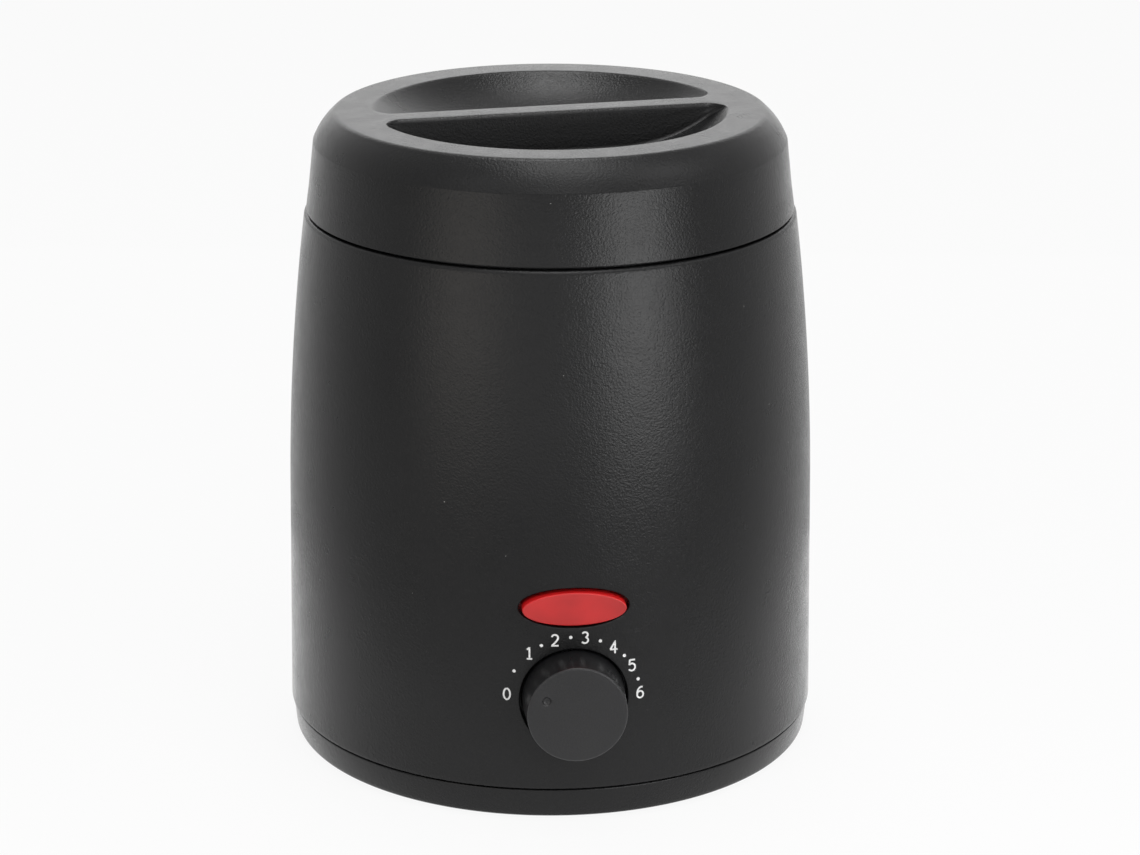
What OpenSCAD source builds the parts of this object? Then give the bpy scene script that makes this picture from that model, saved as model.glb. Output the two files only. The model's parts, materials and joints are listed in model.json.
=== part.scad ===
// Small wax warmer: a round plastic casing with a heated well, a lift-out pot with a bail, and a loose lid.
// Millimetres. +Z is up, the dial faces -Y, and the origin is on the casing's axis where the feet stand.

/* [Casing] */
// Diameter of the casing at its bottom edge
casing_d = 122.6; // [100:0.2:150]
// Height of the casing, from the base seam to the lid seam
casing_h = 116.8; // [96:0.2:142]
// Thickness of the casing's wall
wall = 2.5; // [2:0.1:3]
// Draft of the casing's side, in degrees
draft = 0.95; // [0.5:0.05:1.5]
// Height of the lower part of the side, which is straight
straight_h = 52; // [40:1:60]
// How far the side curves in above that
curve_in = 3.65; // [1:0.05:5]
// Rounding of the casing's top edge
mouth_edge_r = 0.8; // [0.4:0.1:1.2]

/* [Base] */
// Height of the base ring that shows below the casing
base_h = 6.9; // [6:0.1:9]
// How far the base ring stands back from the casing's side
base_step = 0.4; // [0:0.1:1]
// Gap between the base ring and the casing
base_seam = 0.45; // [0.2:0.05:0.8]
// Thickness of the base plate
base_t = 2.4; // [2:0.1:3]
// How far the base plate is set up into its ring
base_recess = 0.6; // [0.2:0.1:1]
// Diameter of a rubber foot
foot_d = 10; // [8:0.5:13]
// How far a foot stands out below the base
foot_proud = 1; // [0.6:0.1:2]
// Depth of a foot's recess in the base plate
foot_recess = 1.2; // [0.8:0.1:1.4]
// Number of vent slots round the base plate
vent_count = 20; // [8:1:24]

/* [Lid] */
// Height of the lid
lid_h = 22.05; // [20:0.05:28]
// Gap between the lid and the casing
lid_seam = 0.55; // [0.3:0.05:1]
// How far the lid's side stands back from the casing's top edge
lid_step = 0.4; // [0:0.1:1]
// How far the lid's side leans in below its shoulder
lid_lean = 1.9; // [1:0.1:3]
// Height of the lid's sloping shoulder
shoulder_h = 6.5; // [4:0.1:8]
// Width of the lid's sloping shoulder
shoulder_w = 4.9; // [3:0.1:7]
// Width of the flat ring around the finger wells
rim_w = 8.5; // [7:0.1:11]
// Depth of the finger wells
well_depth = 8.8; // [7:0.1:10]
// Radius of the flat floor of the finger wells
well_floor_r = 15.5; // [10:0.5:20]
// Width of the grip bar between the finger wells
bar_w = 7.8; // [6.4:0.2:12]
// How far the lid is turned against the dial, in degrees
lid_turn = 8.9; // [0:0.1:180]
// Thickness of the lid's walls
lid_wall = 2; // [1.6:0.1:2.4]

/* [Dial] */
// Diameter of the knob's face
knob_d = 21.9; // [18:0.1:26]
// Height of the knob's axis above the table
knob_z = 29.4; // [27:0.1:30]
// How far the knob stands out in front of the casing
knob_out = 8.4; // [6:0.1:12]
// Gap between the knob and its hole
knob_gap = 0.45; // [0.3:0.05:0.8]
// Angle of the knob's dimple above the left at rest, in degrees
knob_rest = 27; // [0:1:180]
// Diameter of the thermostat's shaft
shaft_d = 6; // [5:0.5:6.5]

/* [Lamp] */
// Width of the lamp's lens
lens_w = 22.7; // [18:0.1:26]
// Height of the lamp's lens
lens_h = 7.6; // [7.5:0.1:9]
// Height of the lens's middle above the table
lens_z = 50.8; // [50:0.1:56]
// How far the lens stands out in front of the casing
lens_out = 1.15; // [1:0.05:3]
// Gap between the lens and its hole
lens_gap = 0.7; // [0.3:0.05:0.8]

/* [Heated well] */
// Depth of the ledge below the casing's top edge
ledge_drop = 4; // [3:0.5:6]
// Width of the ledge that carries the heated well
ledge_w = 11.2; // [10:0.1:14]
// Thickness of the heated well's wall
well_wall = 1.5; // [1.2:0.1:2]
// Height of the heated well's underside above the table
well_z = 51; // [50:0.5:60]
// Height of the heating band
band_h = 28; // [20:1:34]
// Thickness of the heating band
band_t = 3; // [2:0.1:3.4]
// Height of the band's lower edge above the well's underside
band_rise = 11; // [9:0.5:16]
// Thickness of the insulation around the band
wrap_t = 4; // [2:0.1:4.4]

/* [Pot] */
// Gap around the pot in the heated well
pot_gap = 0.8; // [0.5:0.1:1.5]
// Gap under the pot in the heated well
pot_floor_gap = 0.5; // [0.3:0.1:1]
// Thickness of the pot's wall
pot_wall = 1.2; // [0.8:0.1:1.6]
// Diameter of the pot's rolled edge
bead_d = 2.6; // [2:0.1:3]
// Diameter of the bail's wire
wire_d = 2.5; // [2:0.1:3]
// Height of the bail's pivot above the pot's rim
pivot_h = 4.1; // [3.6:0.1:5]

/* [Cord inlet] */
// Diameter of the cord gland's bore
gland_bore = 6.2; // [5:0.1:8]
// Height of the gland's axis above the table
gland_z = 22.5; // [22:0.5:27]
// How far the gland stands out behind the casing
gland_out = 8.4; // [6:0.1:12]

/* [Hidden] */
$fn = 96;
eps = 0.01;

// Fits and small gaps
slip = 0.3;          // between pieces that are pushed together by hand
near = 0.1;          // between pieces that are clamped or snapped together
bearing_gap = 0.05;  // around a turning shaft
thread_gap = 0.05;   // around a screw in its pilot hole or nut
bury = 1;            // how far a rib or a boss runs into the wall that carries it

// Screws
screw_d = 3;
screw_hole_d = 3.4;
head_d = 5;
head_h = 1.6;
boss_d = 7;
pilot_d = screw_d + 2 * thread_gap;

// Heights of the levels
flange_t = 1.5;
z_base = foot_proud;
z_plate = z_base + base_recess;
z_floor = z_plate + base_t;
z_casing = z_base + base_h + base_seam;
z_mouth = z_casing + casing_h;
z_lid = z_mouth + lid_seam;
z_top = z_lid + lid_h;
z_ledge = z_mouth - ledge_drop;
z_flange = z_ledge + flange_t;
z_rim = z_flange + pot_wall;
z_pivot = z_rim + pivot_h;

// Casing
curve_steps = 14;
ledge_t = 3;
function casing_r(z) = casing_d / 2 - (z - z_casing) * tan(draft)
    - curve_in * pow(max(0, (z - z_casing - straight_h) / (casing_h - straight_h)), 2);
mouth_r = casing_r(z_mouth) - wall;
ledge_r = mouth_r - ledge_w;

// Base
base_r = casing_r(z_casing) - base_step;
base_lean = 0.7;
base_edge_r = 1.5;
base_lip = 3;
spigot_h = 3.2;
spigot_t = 1.6;
spigot_r = casing_r(z_casing) - wall - slip;
base_screw_r = casing_r(z_casing) - wall - 8.5;
base_screw_turn = 45;
base_boss_d = 9;
base_screw_l = 14;
head_bore_d = 6.2;
head_seat = 1.6;
pillar_h = 16;
foot_edge_r = 0.5;
vent_w = 3;
vent_l = 14;
vent_r = 29;
vent_free = 48;

// Lid
lid_r = casing_r(z_mouth) - lid_step;
shoulder_r = lid_r - lid_lean;
lid_top_r = shoulder_r - shoulder_w;
lid_edge_r = 0.5;
shoulder_edge_r = 1.5;
top_edge_r = 1.6;
well_r = lid_top_r - rim_w;
z_well_floor = z_top - well_depth;
well_rise = well_r - well_floor_r;
well_arc_r = (well_rise * well_rise + well_depth * well_depth) / (2 * well_depth);
well_steps = 10;
liner_t = 1.5;
liner_wall = 1.6;
liner_gap = 0.7;
liner_band_h = 2.3;
liner_band_w = 1.8;
liner_step = 1.5;
liner_r = mouth_r - 0.4;
z_liner = z_well_floor - lid_wall - liner_gap;
lid_screw_n = 3;
lid_screw_l = 8;
lid_boss_d = 6;
lid_boss_r = liner_r - liner_step - liner_wall - 3.6;

// Heated well
well_or = ledge_r - 0.5;
well_ir = well_or - well_wall;
well_flange_r = mouth_r - 0.4;
well_edge_r = 1;
well_screw_n = 3;
well_screw_l = 9;
well_screw_r = mouth_r - 5.2;
well_boss_room = z_ledge - ledge_t - well_z - band_rise - band_h - 2.5;
well_boss_h = min(8, well_boss_room);
stud_d = 4;
stud_l = 12.5;
stud_pad_d = 9;
stud_pad_h = 0.8;
stud_nut_d = 8;
stud_nut_h = 3.2;
under_gap = 6;
shield_t = 1;
shield_lip = 2.6;
shield_r = well_or + 0.5;
z_shield = well_z - under_gap - shield_t;
tag_t = 0.8;
tag_d = 9;
tag_y = 8.5;
crimp_d = 3.4;
crimp_l = 6;
z_tag_crimp = z_shield - tag_t - crimp_l;

// Heating band and its wrap
band_r = well_or + near;
band_z = well_z + band_rise;
band_gap = 7.2;
ear_reach = 7;
ear_t = 1.5;
ear_x = band_gap / 2;
band_screw_y = band_r + band_t + ear_reach / 2;
band_nut_h = 2.4;
band_nut_d = 6.4;
wrap_r = band_r + band_t + near;
wrap_margin = 2;
wrap_open = 44;
strap_t = 0.5;
strap_h = 6;
strap_short = 4;

// Pot and bail
pot_or = well_ir - pot_gap;
pot_corner_r = 5;
z_pot = well_z + well_wall + pot_floor_gap;
bead_r = pot_or + 4.4;
bead_rise = 0.05;
lug_t = 1.2;
lug_w = 7;
lug_foot_t = 0.9;
lug_foot_w = 2.1;
lug_r = pot_or + 0.9;
bend_r = 2.5;
bail_r = lug_r + lug_t + 0.4 + bend_r;
pin_end = 1.2;
pin_head_t = 1;
grip_d = 5;
grip_angle = 36;

// Knob
knob_r = knob_d / 2;
knob_draft = 2;
knob_l = 12.5;
knob_wall = 1.6;
knob_cap = 2;
knob_edge_r = 0.6;
knob_face = casing_r(knob_z) + knob_out;
knob_back = knob_face - knob_l;
knob_back_r = knob_r + knob_l * tan(knob_draft);
dimple_r = 1.3;
dimple_d = 1.9;
dimple_at = 7.55;
hub_r = 4.6;
spring_t = 0.6;
spring_l = 4;
flat_y = shaft_d / 2 - 1.5;

// Thermostat
dial_hole_r = knob_back_r + knob_gap;
pocket_wall = 2.4;
pocket_gap = 2;
pocket_floor = 2;
y_pocket = knob_back - pocket_gap;
y_bracket = y_pocket - pocket_floor;
bracket_t = 1.2;
bracket_w = 18;
bracket_end = 4;
bracket_screw_x = 17.6;
bracket_screw_l = 4.6;
y_housing = y_bracket - bracket_t;
housing_w = 28;
housing_h = 26;
housing_l = 18;
bush_d = 9.9;
bush_l = 5;
bush_nut_d = 13.6;
bush_nut_h = 2.4;
collar_d = 8.4;
collar_h = 2;
shaft_in = 5;
shaft_end = knob_face - 3.5;
blade_x = 8;
blade_drop = 5;
blade_w = 6.3;
blade_t = 0.8;
blade_l = 8;
z_blade = knob_z - blade_drop;

// Push-on terminals, and where their leads start
socket_wall = 0.6;
socket_l = 7;
socket_tip = 0.5;
barrel_w = 5;
barrel_t = 3;
barrel_l = 6;
crimp_out = barrel_l + socket_tip;
y_crimp = -(y_housing - housing_l - blade_l - crimp_out);
tab_turn = 12;
tab_r = band_r + band_t + blade_t / 2;
tab_x = tab_r * sin(tab_turn);
tab_y = tab_r * cos(tab_turn);
tab_on = 4;
z_tab_crimp = band_z - blade_l - crimp_out;

// Bulb and fuse under the well
bulb_d = 4;
bulb_l = 36;
bulb_x = 15;
fuse_d = 4;
fuse_l = 11;
fuse_x = -15;
fuse_wire_d = 1;
fuse_wire_l = 6;
clip_t = 0.8;
clip_w = 8;
clip_foot = 7;
clip_end = 2.5;
clip_screw_d = 2;
clip_bite = 0.9;
function z_under(d) = well_z - d / 2 - near / 2;

// Lamp
y_lens_face = casing_r(lens_z) + lens_out;
lens_wall = 1.5;
lens_flange_w = 1.8;
lens_flange_t = 1.2;
y_lens_stop = sqrt(pow(casing_r(lens_z) - wall, 2) - pow(lens_w / 2 + lens_flange_w, 2)) - 0.5;
y_holder = y_lens_stop - lens_flange_t;
holder_in = 2.4;
holder_back = 2;
y_holder_back = y_holder - holder_in - holder_back;
collar_wall = 1.8;
neon_d = 3.4;
neon_l = min(12, lens_w - 10.7);
neon_tip = 1.6;
neon_sink = 0.6;
cradle_w = 6;
cradle_t = 3;
lamp_hole_x = 4.5;
lamp_hole_drop = 2;
lamp_lead_d = 1.2;
resistor_d = 2.4;
resistor_l = 6.4;
resistor_drop = 5.5;

// Terminal block
block_y = 22;
block_w = 38;
block_l = 12;
block_h = 5;
pole_pitch = 14;
pole_w = 8.4;
pole_l = 17;
pole_h = 13;
insert_d = 6;
insert_bore = 4.4;
insert_l = 15;
clamp_d = 3.6;
clamp_y = 4.5;
clamp_top = 1.5;
z_pole = z_floor + pole_h / 2;

// Cord gland
gland_flange_d = 16.4;
gland_flange_t = 2.6;
gland_neck_d = 12;
gland_nose_d = 9.6;
gland_edge_r = 1.2;
gland_spot = 1.1;
gland_pad = 2;
gland_nut_h = 4;
gland_nut_d = 18;
gland_boss_d = gland_nut_d + 3;
gland_tail = 1;
gland_inner_d = gland_bore + 1;
gland_step = 0.5;
y_gland = casing_r(gland_z) - gland_spot;
y_gland_pad = casing_r(gland_z) - wall - gland_pad;
y_gland_end = casing_r(gland_z) + gland_out;
y_gland_bore = casing_r(gland_z) + 0.9;

// Leads. The points between their ends are chosen by eye to keep clear of the pieces around them.
lead_d = 2.4;
lead_in = 5;
y_pole = block_y - pole_l / 2;
pair_x = 0.9;
pair_gap = 2.2;

live_route = [
    [pole_pitch, y_pole + lead_in, z_pole], [pole_pitch, y_pole - 3, z_pole], [12.5, 5, z_pole],
    [10, -4, z_pole + 3], [8.2, -11, z_blade - 4], [blade_x, y_crimp + 4, z_blade], [blade_x, y_crimp, z_blade]
];
neutral_route = [
    [-pole_pitch + pair_x, y_pole + lead_in, z_pole], [-pole_pitch + pair_x, y_pole, z_pole],
    [-pole_pitch + pair_x, y_pole - 4, z_pole], [-9, 4, z_pole - 3], [0, 2, z_floor + 3], [12, 2, z_floor + 2.5], [28, 6, z_floor + 5],
    [39, 18, z_casing + 9], [38, 32, z_casing + pillar_h + 3], [26, 42, z_casing + pillar_h + 6],
    [14, tab_y + 2, z_tab_crimp - 12], [tab_x, tab_y, z_tab_crimp - 4], [tab_x, tab_y, z_tab_crimp]
];
fuse_route = [
    [-blade_x - 1.3, y_crimp, z_blade], [-blade_x - 1.3, y_crimp + 4, z_blade], [-14, y_crimp + 11, z_blade],
    [-26, -4, z_blade + 3], [-38, -5, z_blade + 9], [-shield_r - 4, -8, z_shield - 4],
    [-shield_r - 4.5, -10, z_shield + 2], [-shield_r - 0.5, -12, well_z - 2.6], [-30, -16, well_z - 2.7],
    [-20, -20, well_z - 2.4], [fuse_x, -17.5, z_under(fuse_d)],
    [fuse_x, -fuse_l / 2 - fuse_wire_l, z_under(fuse_d)]
];
heater_route = [
    [fuse_x, fuse_l / 2 + fuse_wire_l, z_under(fuse_d)], [fuse_x, 16.5, z_under(fuse_d)],
    [-19, 26, well_z - 2.4], [-0.6 * (shield_r + 0.9), 0.8 * (shield_r + 0.9), well_z - 2.8],
    [-0.6 * (shield_r + 6.5), 0.8 * (shield_r + 6.5), z_shield - 1], [-0.45 * (shield_r + 6.5), 0.89 * (shield_r + 6.5), z_shield - 7],
    [-13, tab_y + 2, z_tab_crimp - 12], [-tab_x, tab_y, z_tab_crimp - 4], [-tab_x, tab_y, z_tab_crimp]
];
earth_route = [
    [0, y_pole + lead_in, z_pole], [0, y_pole - 1, z_pole], [0, tag_y + 1, z_pole + 2],
    [0, tag_y, z_pole + 8], [0, tag_y, z_tag_crimp - 8], [0, tag_y, z_tag_crimp]
];
lamp_neutral_route = [
    [-lamp_hole_x, -y_holder + 1, lens_z - lamp_hole_drop], [-lamp_hole_x, -y_holder_back + 0.4, lens_z - lamp_hole_drop],
    [-6, -y_holder_back + 2.7, lens_z - 2.2], [-13, -y_holder_back + 4.4, lens_z - 3.8], [-20.5, -y_holder_back + 7.5, knob_z + 11],
    [-22, -36, knob_z], [-21, -26, z_pole + 9], [-19, -12, z_pole + 5], [-17, 1, z_pole + 3],
    [-pole_pitch + pair_x - pair_gap, y_pole - 3, z_pole], [-pole_pitch + pair_x - pair_gap, y_pole + lead_in, z_pole]
];
lamp_feed_route = [
    [lamp_hole_x, -y_holder + 1, lens_z - lamp_hole_drop], [lamp_hole_x, -y_holder_back + 0.4, lens_z - lamp_hole_drop],
    [5.8, -y_holder_back + 2.4, lens_z - 2.8], [7.6, -y_holder_back + 2.4, lens_z - 4.6],
    [5.4, -y_holder_back + 1.3, lens_z - resistor_drop], [resistor_l / 2, -y_holder_back + 1.3, lens_z - resistor_drop]
];
lamp_live_route = [
    [-resistor_l / 2, -y_holder_back + 1.3, lens_z - resistor_drop], [-5.4, -y_holder_back + 1.3, lens_z - resistor_drop],
    [-12, -y_holder_back + 3, lens_z - 6.6], [-17.5, -y_holder_back + 6.5, knob_z + 10.6], [-18, -36, knob_z + 4.6],
    [-16, -26, z_blade + 6.6], [-11.5, y_crimp + 3, z_blade + 6.6], [-7.6, y_crimp + 8, z_blade + 4.6],
    [-blade_x + 1.4, y_crimp + 4, z_blade], [-blade_x + 1.4, y_crimp, z_blade]
];
capillary_d = 1.6;
capillary_y = 9;
capillary_route = [
    [housing_w / 2, -y_housing + capillary_y, knob_z + 6], [housing_w / 2 + 3, -y_housing + capillary_y, knob_z + 6],
    [housing_w / 2 + 9, -y_housing + capillary_y - 1.5, knob_z + 11],
    [housing_w / 2 + 11, -y_housing + capillary_y - 1.5, well_z - 6],
    [housing_w / 2 + 9, -y_housing + capillary_y + 3.5, well_z - 3], [housing_w / 2 + 5, -bulb_l / 2 - 14, well_z - 2.4],
    [bulb_x, -bulb_l / 2 - 6, z_under(bulb_d)], [bulb_x, -bulb_l / 2, z_under(bulb_d)]
];

// Turns its children so that their +Z points to the front and their +Y points up
module facing_front(z) translate([0, 0, z]) rotate([90, 0, 0]) children();

// Turns its children so that their +Z points to the back
module facing_back(z) translate([0, 0, z]) rotate([-90, 0, 0]) children();

// Repeats its children round the axis
module around(n, r, start = 0) for (i = [0 : n - 1]) rotate(start + i * 360 / n) translate([r, 0, 0]) children();

// Repeats its children to the left and to the right
module both_sides(x) for (s = [-1, 1]) translate([s * x, 0, 0]) children();

// A straight hole or rod that starts just below z = 0 and ends just above its height
module drill(d, h) translate([0, 0, -eps]) cylinder(d = d, h = h + 2 * eps);

// A tube that stands on z = 0
module tube(r_out, r_in, h) difference() {
    cylinder(r = r_out, h = h);
    drill(2 * r_in, h);
}

// A part of a tube, a given angle wide
module tube_arc(r_out, r_in, h, angle) rotate_extrude(angle = angle) translate([r_in, 0]) square([r_out - r_in, h]);

// A pan-head screw with a cross slot: its head stands on z = 0 and its shank runs down
module screw(l, d = screw_d, hd = head_d, hh = head_h) difference() {
    union() {
        translate([0, 0, -l]) cylinder(d = d, h = l + eps);
        cylinder(d = hd, h = hh);
    }
    for (a = [0, 90]) rotate(a) translate([-0.35 * hd, -0.4, hh / 2]) cube([0.7 * hd, 0.8, hh]);
}

// The same screw driven upwards
module screw_up(l, d = screw_d, hd = head_d, hh = head_h) mirror([0, 0, 1]) screw(l, d, hd, hh);

// A hexagonal nut that stands on z = 0
module nut(d, bore, h) difference() {
    cylinder(d = d, h = h, $fn = 6);
    drill(bore, h);
}

// The arc that rounds the corner b between a and c
function unit(v) = v / norm(v);
function corner(a, b, c, r, n = 5) = let (
    u = unit(a - b),
    v = unit(c - b),
    half = acos(u * v) / 2,
    mid = b + unit(u + v) * r / sin(half),
    from = b + u * r / tan(half) - mid,
    to = b + v * r / tan(half) - mid,
    a0 = atan2(from[1], from[0]),
    turn = (atan2(to[1], to[0]) - a0 + 540) % 360 - 180)
    [for (i = [0 : n]) mid + r * [cos(a0 + turn * i / n), sin(a0 + turn * i / n)]];

// An outline from [x, y, rounding] points
function flat(p) = [p[0], p[1]];
function outline(p) = [for (i = [0 : len(p) - 1]) let (a = p[(i + len(p) - 1) % len(p)], c = p[(i + 1) % len(p)])
    each p[i][2] > 0 ? corner(flat(a), flat(p[i]), flat(c), p[i][2]) : [flat(p[i])]];
module turned(p) rotate_extrude() polygon(outline(p));

// A disc in the shape of the lens, grown by a given width
function ellipse(a, b, n = 64) = [for (i = [0 : n - 1]) [a * cos(360 * i / n), b * sin(360 * i / n)]];
module oval(w, h, t) linear_extrude(t) polygon(ellipse(w / 2, h / 2));
module lens_oval(grow, t) oval(lens_w + 2 * grow, lens_h + 2 * grow, t);

// Points along a smooth curve through the points of a route
function curve_point(a, b, c, d, t) = 0.5 * (2 * b + (c - a) * t + (2 * a - 5 * b + 4 * c - d) * t * t
    + (3 * b - a - 3 * c + d) * t * t * t);
function smooth(route, n) = let (last = len(route) - 1) concat(
    [for (i = [0 : last - 1], k = [0 : n - 1])
        curve_point(route[max(0, i - 1)], route[i], route[i + 1], route[min(last, i + 2)], k / n)],
    [route[last]]);
function headings(p, route) = [for (i = [0 : len(p) - 1])
    i == 0 ? unit(route[1] - route[0])
    : i == len(p) - 1 ? unit(route[len(route) - 1] - route[len(route) - 2])
    : unit(p[i + 1] - p[i - 1])];
function sides_along(t, side, i = 0) = i == len(t) ? [] :
    let (s = unit(side - (side * t[i]) * t[i])) concat([s], sides_along(t, s, i + 1));

// A round wire swept along a route, with its ends square to the route's first and last stretch
module wire(route, d, n = 3, sides = 8) {
    p = smooth(route, n);
    t = headings(p, route);
    across = sides_along(t, abs(t[0][2]) > 0.9 ? [1, 0, 0] : [0, 0, 1]);
    points = [for (i = [0 : len(p) - 1], k = [0 : sides - 1]) let (a = 360 * k / sides)
        p[i] + d / 2 * (cos(a) * across[i] + sin(a) * cross(t[i], across[i]))];
    walls = [for (i = [0 : len(p) - 2], k = [0 : sides - 1]) let (m = (k + 1) % sides)
        each [[i * sides + k, (i + 1) * sides + k, (i + 1) * sides + m],
            [i * sides + k, (i + 1) * sides + m, i * sides + m]]];
    ends = [[for (k = [0 : sides - 1]) k], [for (k = [sides - 1 : -1 : 0]) (len(p) - 1) * sides + k]];
    polyhedron(points, concat(walls, ends));
}

// ---- Casing ----

// The heights at which the casing's side is drawn: one straight stretch, then the steps of the curve
function side_heights(to) = let (bend = z_casing + straight_h) concat(
    [z_casing], [for (i = [0 : curve_steps]) bend + (to - bend) * i / curve_steps]);

// The casing's outer form, filled, and set in by a given depth
module casing_form(inset) rotate_extrude() polygon(concat(
    [[0, z_casing]], [for (z = side_heights(z_mouth)) [casing_r(z) - inset, z]], [[0, z_mouth]]));

module casing_wall() {
    outer = side_heights(z_mouth - 2 * mouth_edge_r);
    inner = side_heights(z_mouth);
    top_r = casing_r(z_mouth);
    rotate_extrude() polygon(concat(
        [for (z = outer) [casing_r(z), z]],
        corner([casing_r(z_casing), z_casing], [top_r, z_mouth], [mouth_r, z_mouth], mouth_edge_r),
        [for (i = [len(inner) - 1 : -1 : 0]) [casing_r(inner[i]) - wall, inner[i]]]));
}

module casing_ledge() {
    translate([0, 0, z_ledge - ledge_t]) tube(mouth_r + bury, ledge_r, ledge_t);
    translate([0, 0, z_ledge - ledge_t - well_boss_h]) around(well_screw_n, well_screw_r, 90)
        cylinder(d = boss_d, h = well_boss_h + bury);
}

module base_pillars() intersection() {
    casing_form(bury);
    translate([0, 0, z_casing]) around(4, base_screw_r, base_screw_turn) {
        cylinder(d = boss_d, h = pillar_h);
        translate([0, -1, spigot_h + slip]) cube([casing_d, 2, pillar_h - spigot_h - slip]);
    }
}

module dial_pocket() intersection() {
    casing_form(bury);
    facing_front(knob_z) translate([0, 0, y_bracket]) {
        cylinder(r = dial_hole_r + pocket_wall, h = knob_l + pocket_gap);
        both_sides(bracket_screw_x) cylinder(d = boss_d, h = knob_l);
    }
}

module lens_collar() intersection() {
    casing_form(bury);
    facing_front(lens_z) translate([0, 0, y_holder - holder_in]) lens_oval(lens_flange_w + slip + collar_wall, casing_d / 2);
}

module gland_boss() intersection() {
    casing_form(bury);
    facing_back(gland_z) translate([0, 0, y_gland_pad]) cylinder(d = gland_boss_d, h = gland_pad + wall);
}

module casing_cuts() {
    facing_front(knob_z) {
        translate([0, 0, y_pocket]) cylinder(r = dial_hole_r, h = knob_l);
        translate([0, 0, y_bracket]) drill(bush_nut_d + 1, pocket_floor + pocket_gap);
        both_sides(bracket_screw_x) translate([0, 0, y_bracket]) drill(pilot_d, bracket_screw_l - bracket_t + 0.3);
    }
    facing_front(lens_z) translate([0, 0, y_holder - holder_in - eps]) {
        lens_oval(lens_gap, casing_d / 2);
        lens_oval(lens_flange_w + slip, holder_in + lens_flange_t + eps);
        mirror([0, 0, 1]) lens_oval(lens_flange_w + slip + collar_wall + near, housing_l);
    }
    facing_back(gland_z) {
        translate([0, 0, y_gland_pad]) drill(gland_neck_d + 2 * near, gland_pad + wall);
        translate([0, 0, y_gland]) cylinder(d = gland_flange_d + 2 * slip, h = wall + gland_out);
    }
    translate([0, 0, z_casing]) around(4, base_screw_r, base_screw_turn) drill(pilot_d, base_screw_l);
    translate([0, 0, z_ledge - well_screw_l]) around(well_screw_n, well_screw_r, 90) drill(pilot_d, well_screw_l);
}

module casing() color([0.13, 0.13, 0.13]) difference() {
    union() {
        casing_wall();
        casing_ledge();
        base_pillars();
        dial_pocket();
        lens_collar();
        gland_boss();
    }
    casing_cuts();
}

// ---- Base ----

module base_tray() turned([
    [0, z_plate, 0], [base_r - base_lean - base_lip, z_plate, 0.2], [base_r - base_lean - base_lip, z_base, 0.2],
    [base_r - base_lean, z_base, base_edge_r], [base_r, z_casing - base_seam, 0.2],
    [spigot_r, z_casing - base_seam, 0], [spigot_r, z_casing + spigot_h, 0.4],
    [spigot_r - spigot_t, z_casing + spigot_h, 0.4], [spigot_r - spigot_t, z_floor, 1], [0, z_floor, 0]]);

module vent_slot() linear_extrude(base_t + 2 * eps) {
    translate([(vent_w - vent_l) / 2, -vent_w / 2]) square([vent_l - vent_w, vent_w]);
    both_sides((vent_l - vent_w) / 2) circle(d = vent_w);
}

module vents() for (i = [0 : vent_count - 1]) let (a = (i + 0.5) * 360 / vent_count)
    if (abs(a - 90) > vent_free) rotate(a) translate([vent_r, 0, z_plate - eps]) vent_slot();

module base_cover() color([0.12, 0.12, 0.12]) difference() {
    union() {
        base_tray();
        translate([0, 0, z_plate]) around(4, base_screw_r, base_screw_turn)
            cylinder(d = base_boss_d, h = z_casing - z_plate);
    }
    vents();
    facing_back(gland_z) translate([0, 0, y_gland_pad - gland_nut_h - slip]) cylinder(d = gland_boss_d + 2 * slip, h = casing_d);
    translate([0, 0, z_plate]) {
        around(4, base_screw_r, base_screw_turn) {
            drill(screw_hole_d, z_casing - z_plate);
            drill(head_bore_d, z_casing - head_seat - z_plate - eps);
        }
        around(4, base_screw_r) drill(foot_d + 2 * near, foot_recess - eps);
        translate([0, block_y, 0]) both_sides(pole_pitch / 2) drill(pilot_d, base_t);
    }
}

module rubber_feet() color([0.08, 0.08, 0.08]) around(4, base_screw_r) turned([
    [0, 0, 0], [foot_d / 2, 0, foot_edge_r], [foot_d / 2, z_plate + foot_recess, 0], [0, z_plate + foot_recess, 0]]);

module base_screws() color("silver") translate([0, 0, z_casing - head_seat])
    around(4, base_screw_r, base_screw_turn) screw_up(base_screw_l);

// ---- Lid ----

// The bowl that both finger wells are cut from, grown by a wall's thickness
module well_bowl(grow) {
    sweep = asin(well_rise / well_arc_r);
    rotate_extrude() polygon(concat(
        [[0, z_well_floor - grow]],
        [for (i = [0 : well_steps]) let (a = sweep * i / well_steps)
            [well_floor_r + (well_arc_r + grow) * sin(a), z_well_floor + well_arc_r - (well_arc_r + grow) * cos(a)]],
        [[well_r + grow, z_top + 1], [0, z_top + 1]]));
}

module bar_block(w) translate([-lid_r, -w / 2, z_liner]) cube([2 * lid_r, w, z_top - z_liner + 2]);

module lid_form() turned([
    [0, z_lid, 0], [lid_r, z_lid, lid_edge_r], [shoulder_r, z_top - shoulder_h, shoulder_edge_r],
    [lid_top_r, z_top, top_edge_r], [0, z_top, 0]]);

module lid_cavity() difference() {
    turned([
        [0, z_lid - 1, 0], [lid_r - lid_wall, z_lid - 1, 0], [lid_r - lid_wall, z_lid, 0],
        [shoulder_r - lid_wall, z_top - shoulder_h - 0.4, 0.5], [lid_top_r - 1, z_top - lid_wall, 0.5],
        [0, z_top - lid_wall, 0]]);
    difference() {
        well_bowl(lid_wall);
        bar_block(bar_w - 2 * lid_wall);
    }
    translate([0, 0, z_liner]) around(lid_screw_n, lid_boss_r, 90) cylinder(d = lid_boss_d, h = lid_h);
}

module lid_shell() color([0.14, 0.14, 0.14]) rotate(lid_turn) difference() {
    lid_form();
    lid_cavity();
    difference() {
        well_bowl(0);
        bar_block(bar_w);
    }
    translate([0, 0, z_liner]) around(lid_screw_n, lid_boss_r, 90) drill(pilot_d, lid_screw_l - 1);
}

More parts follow.
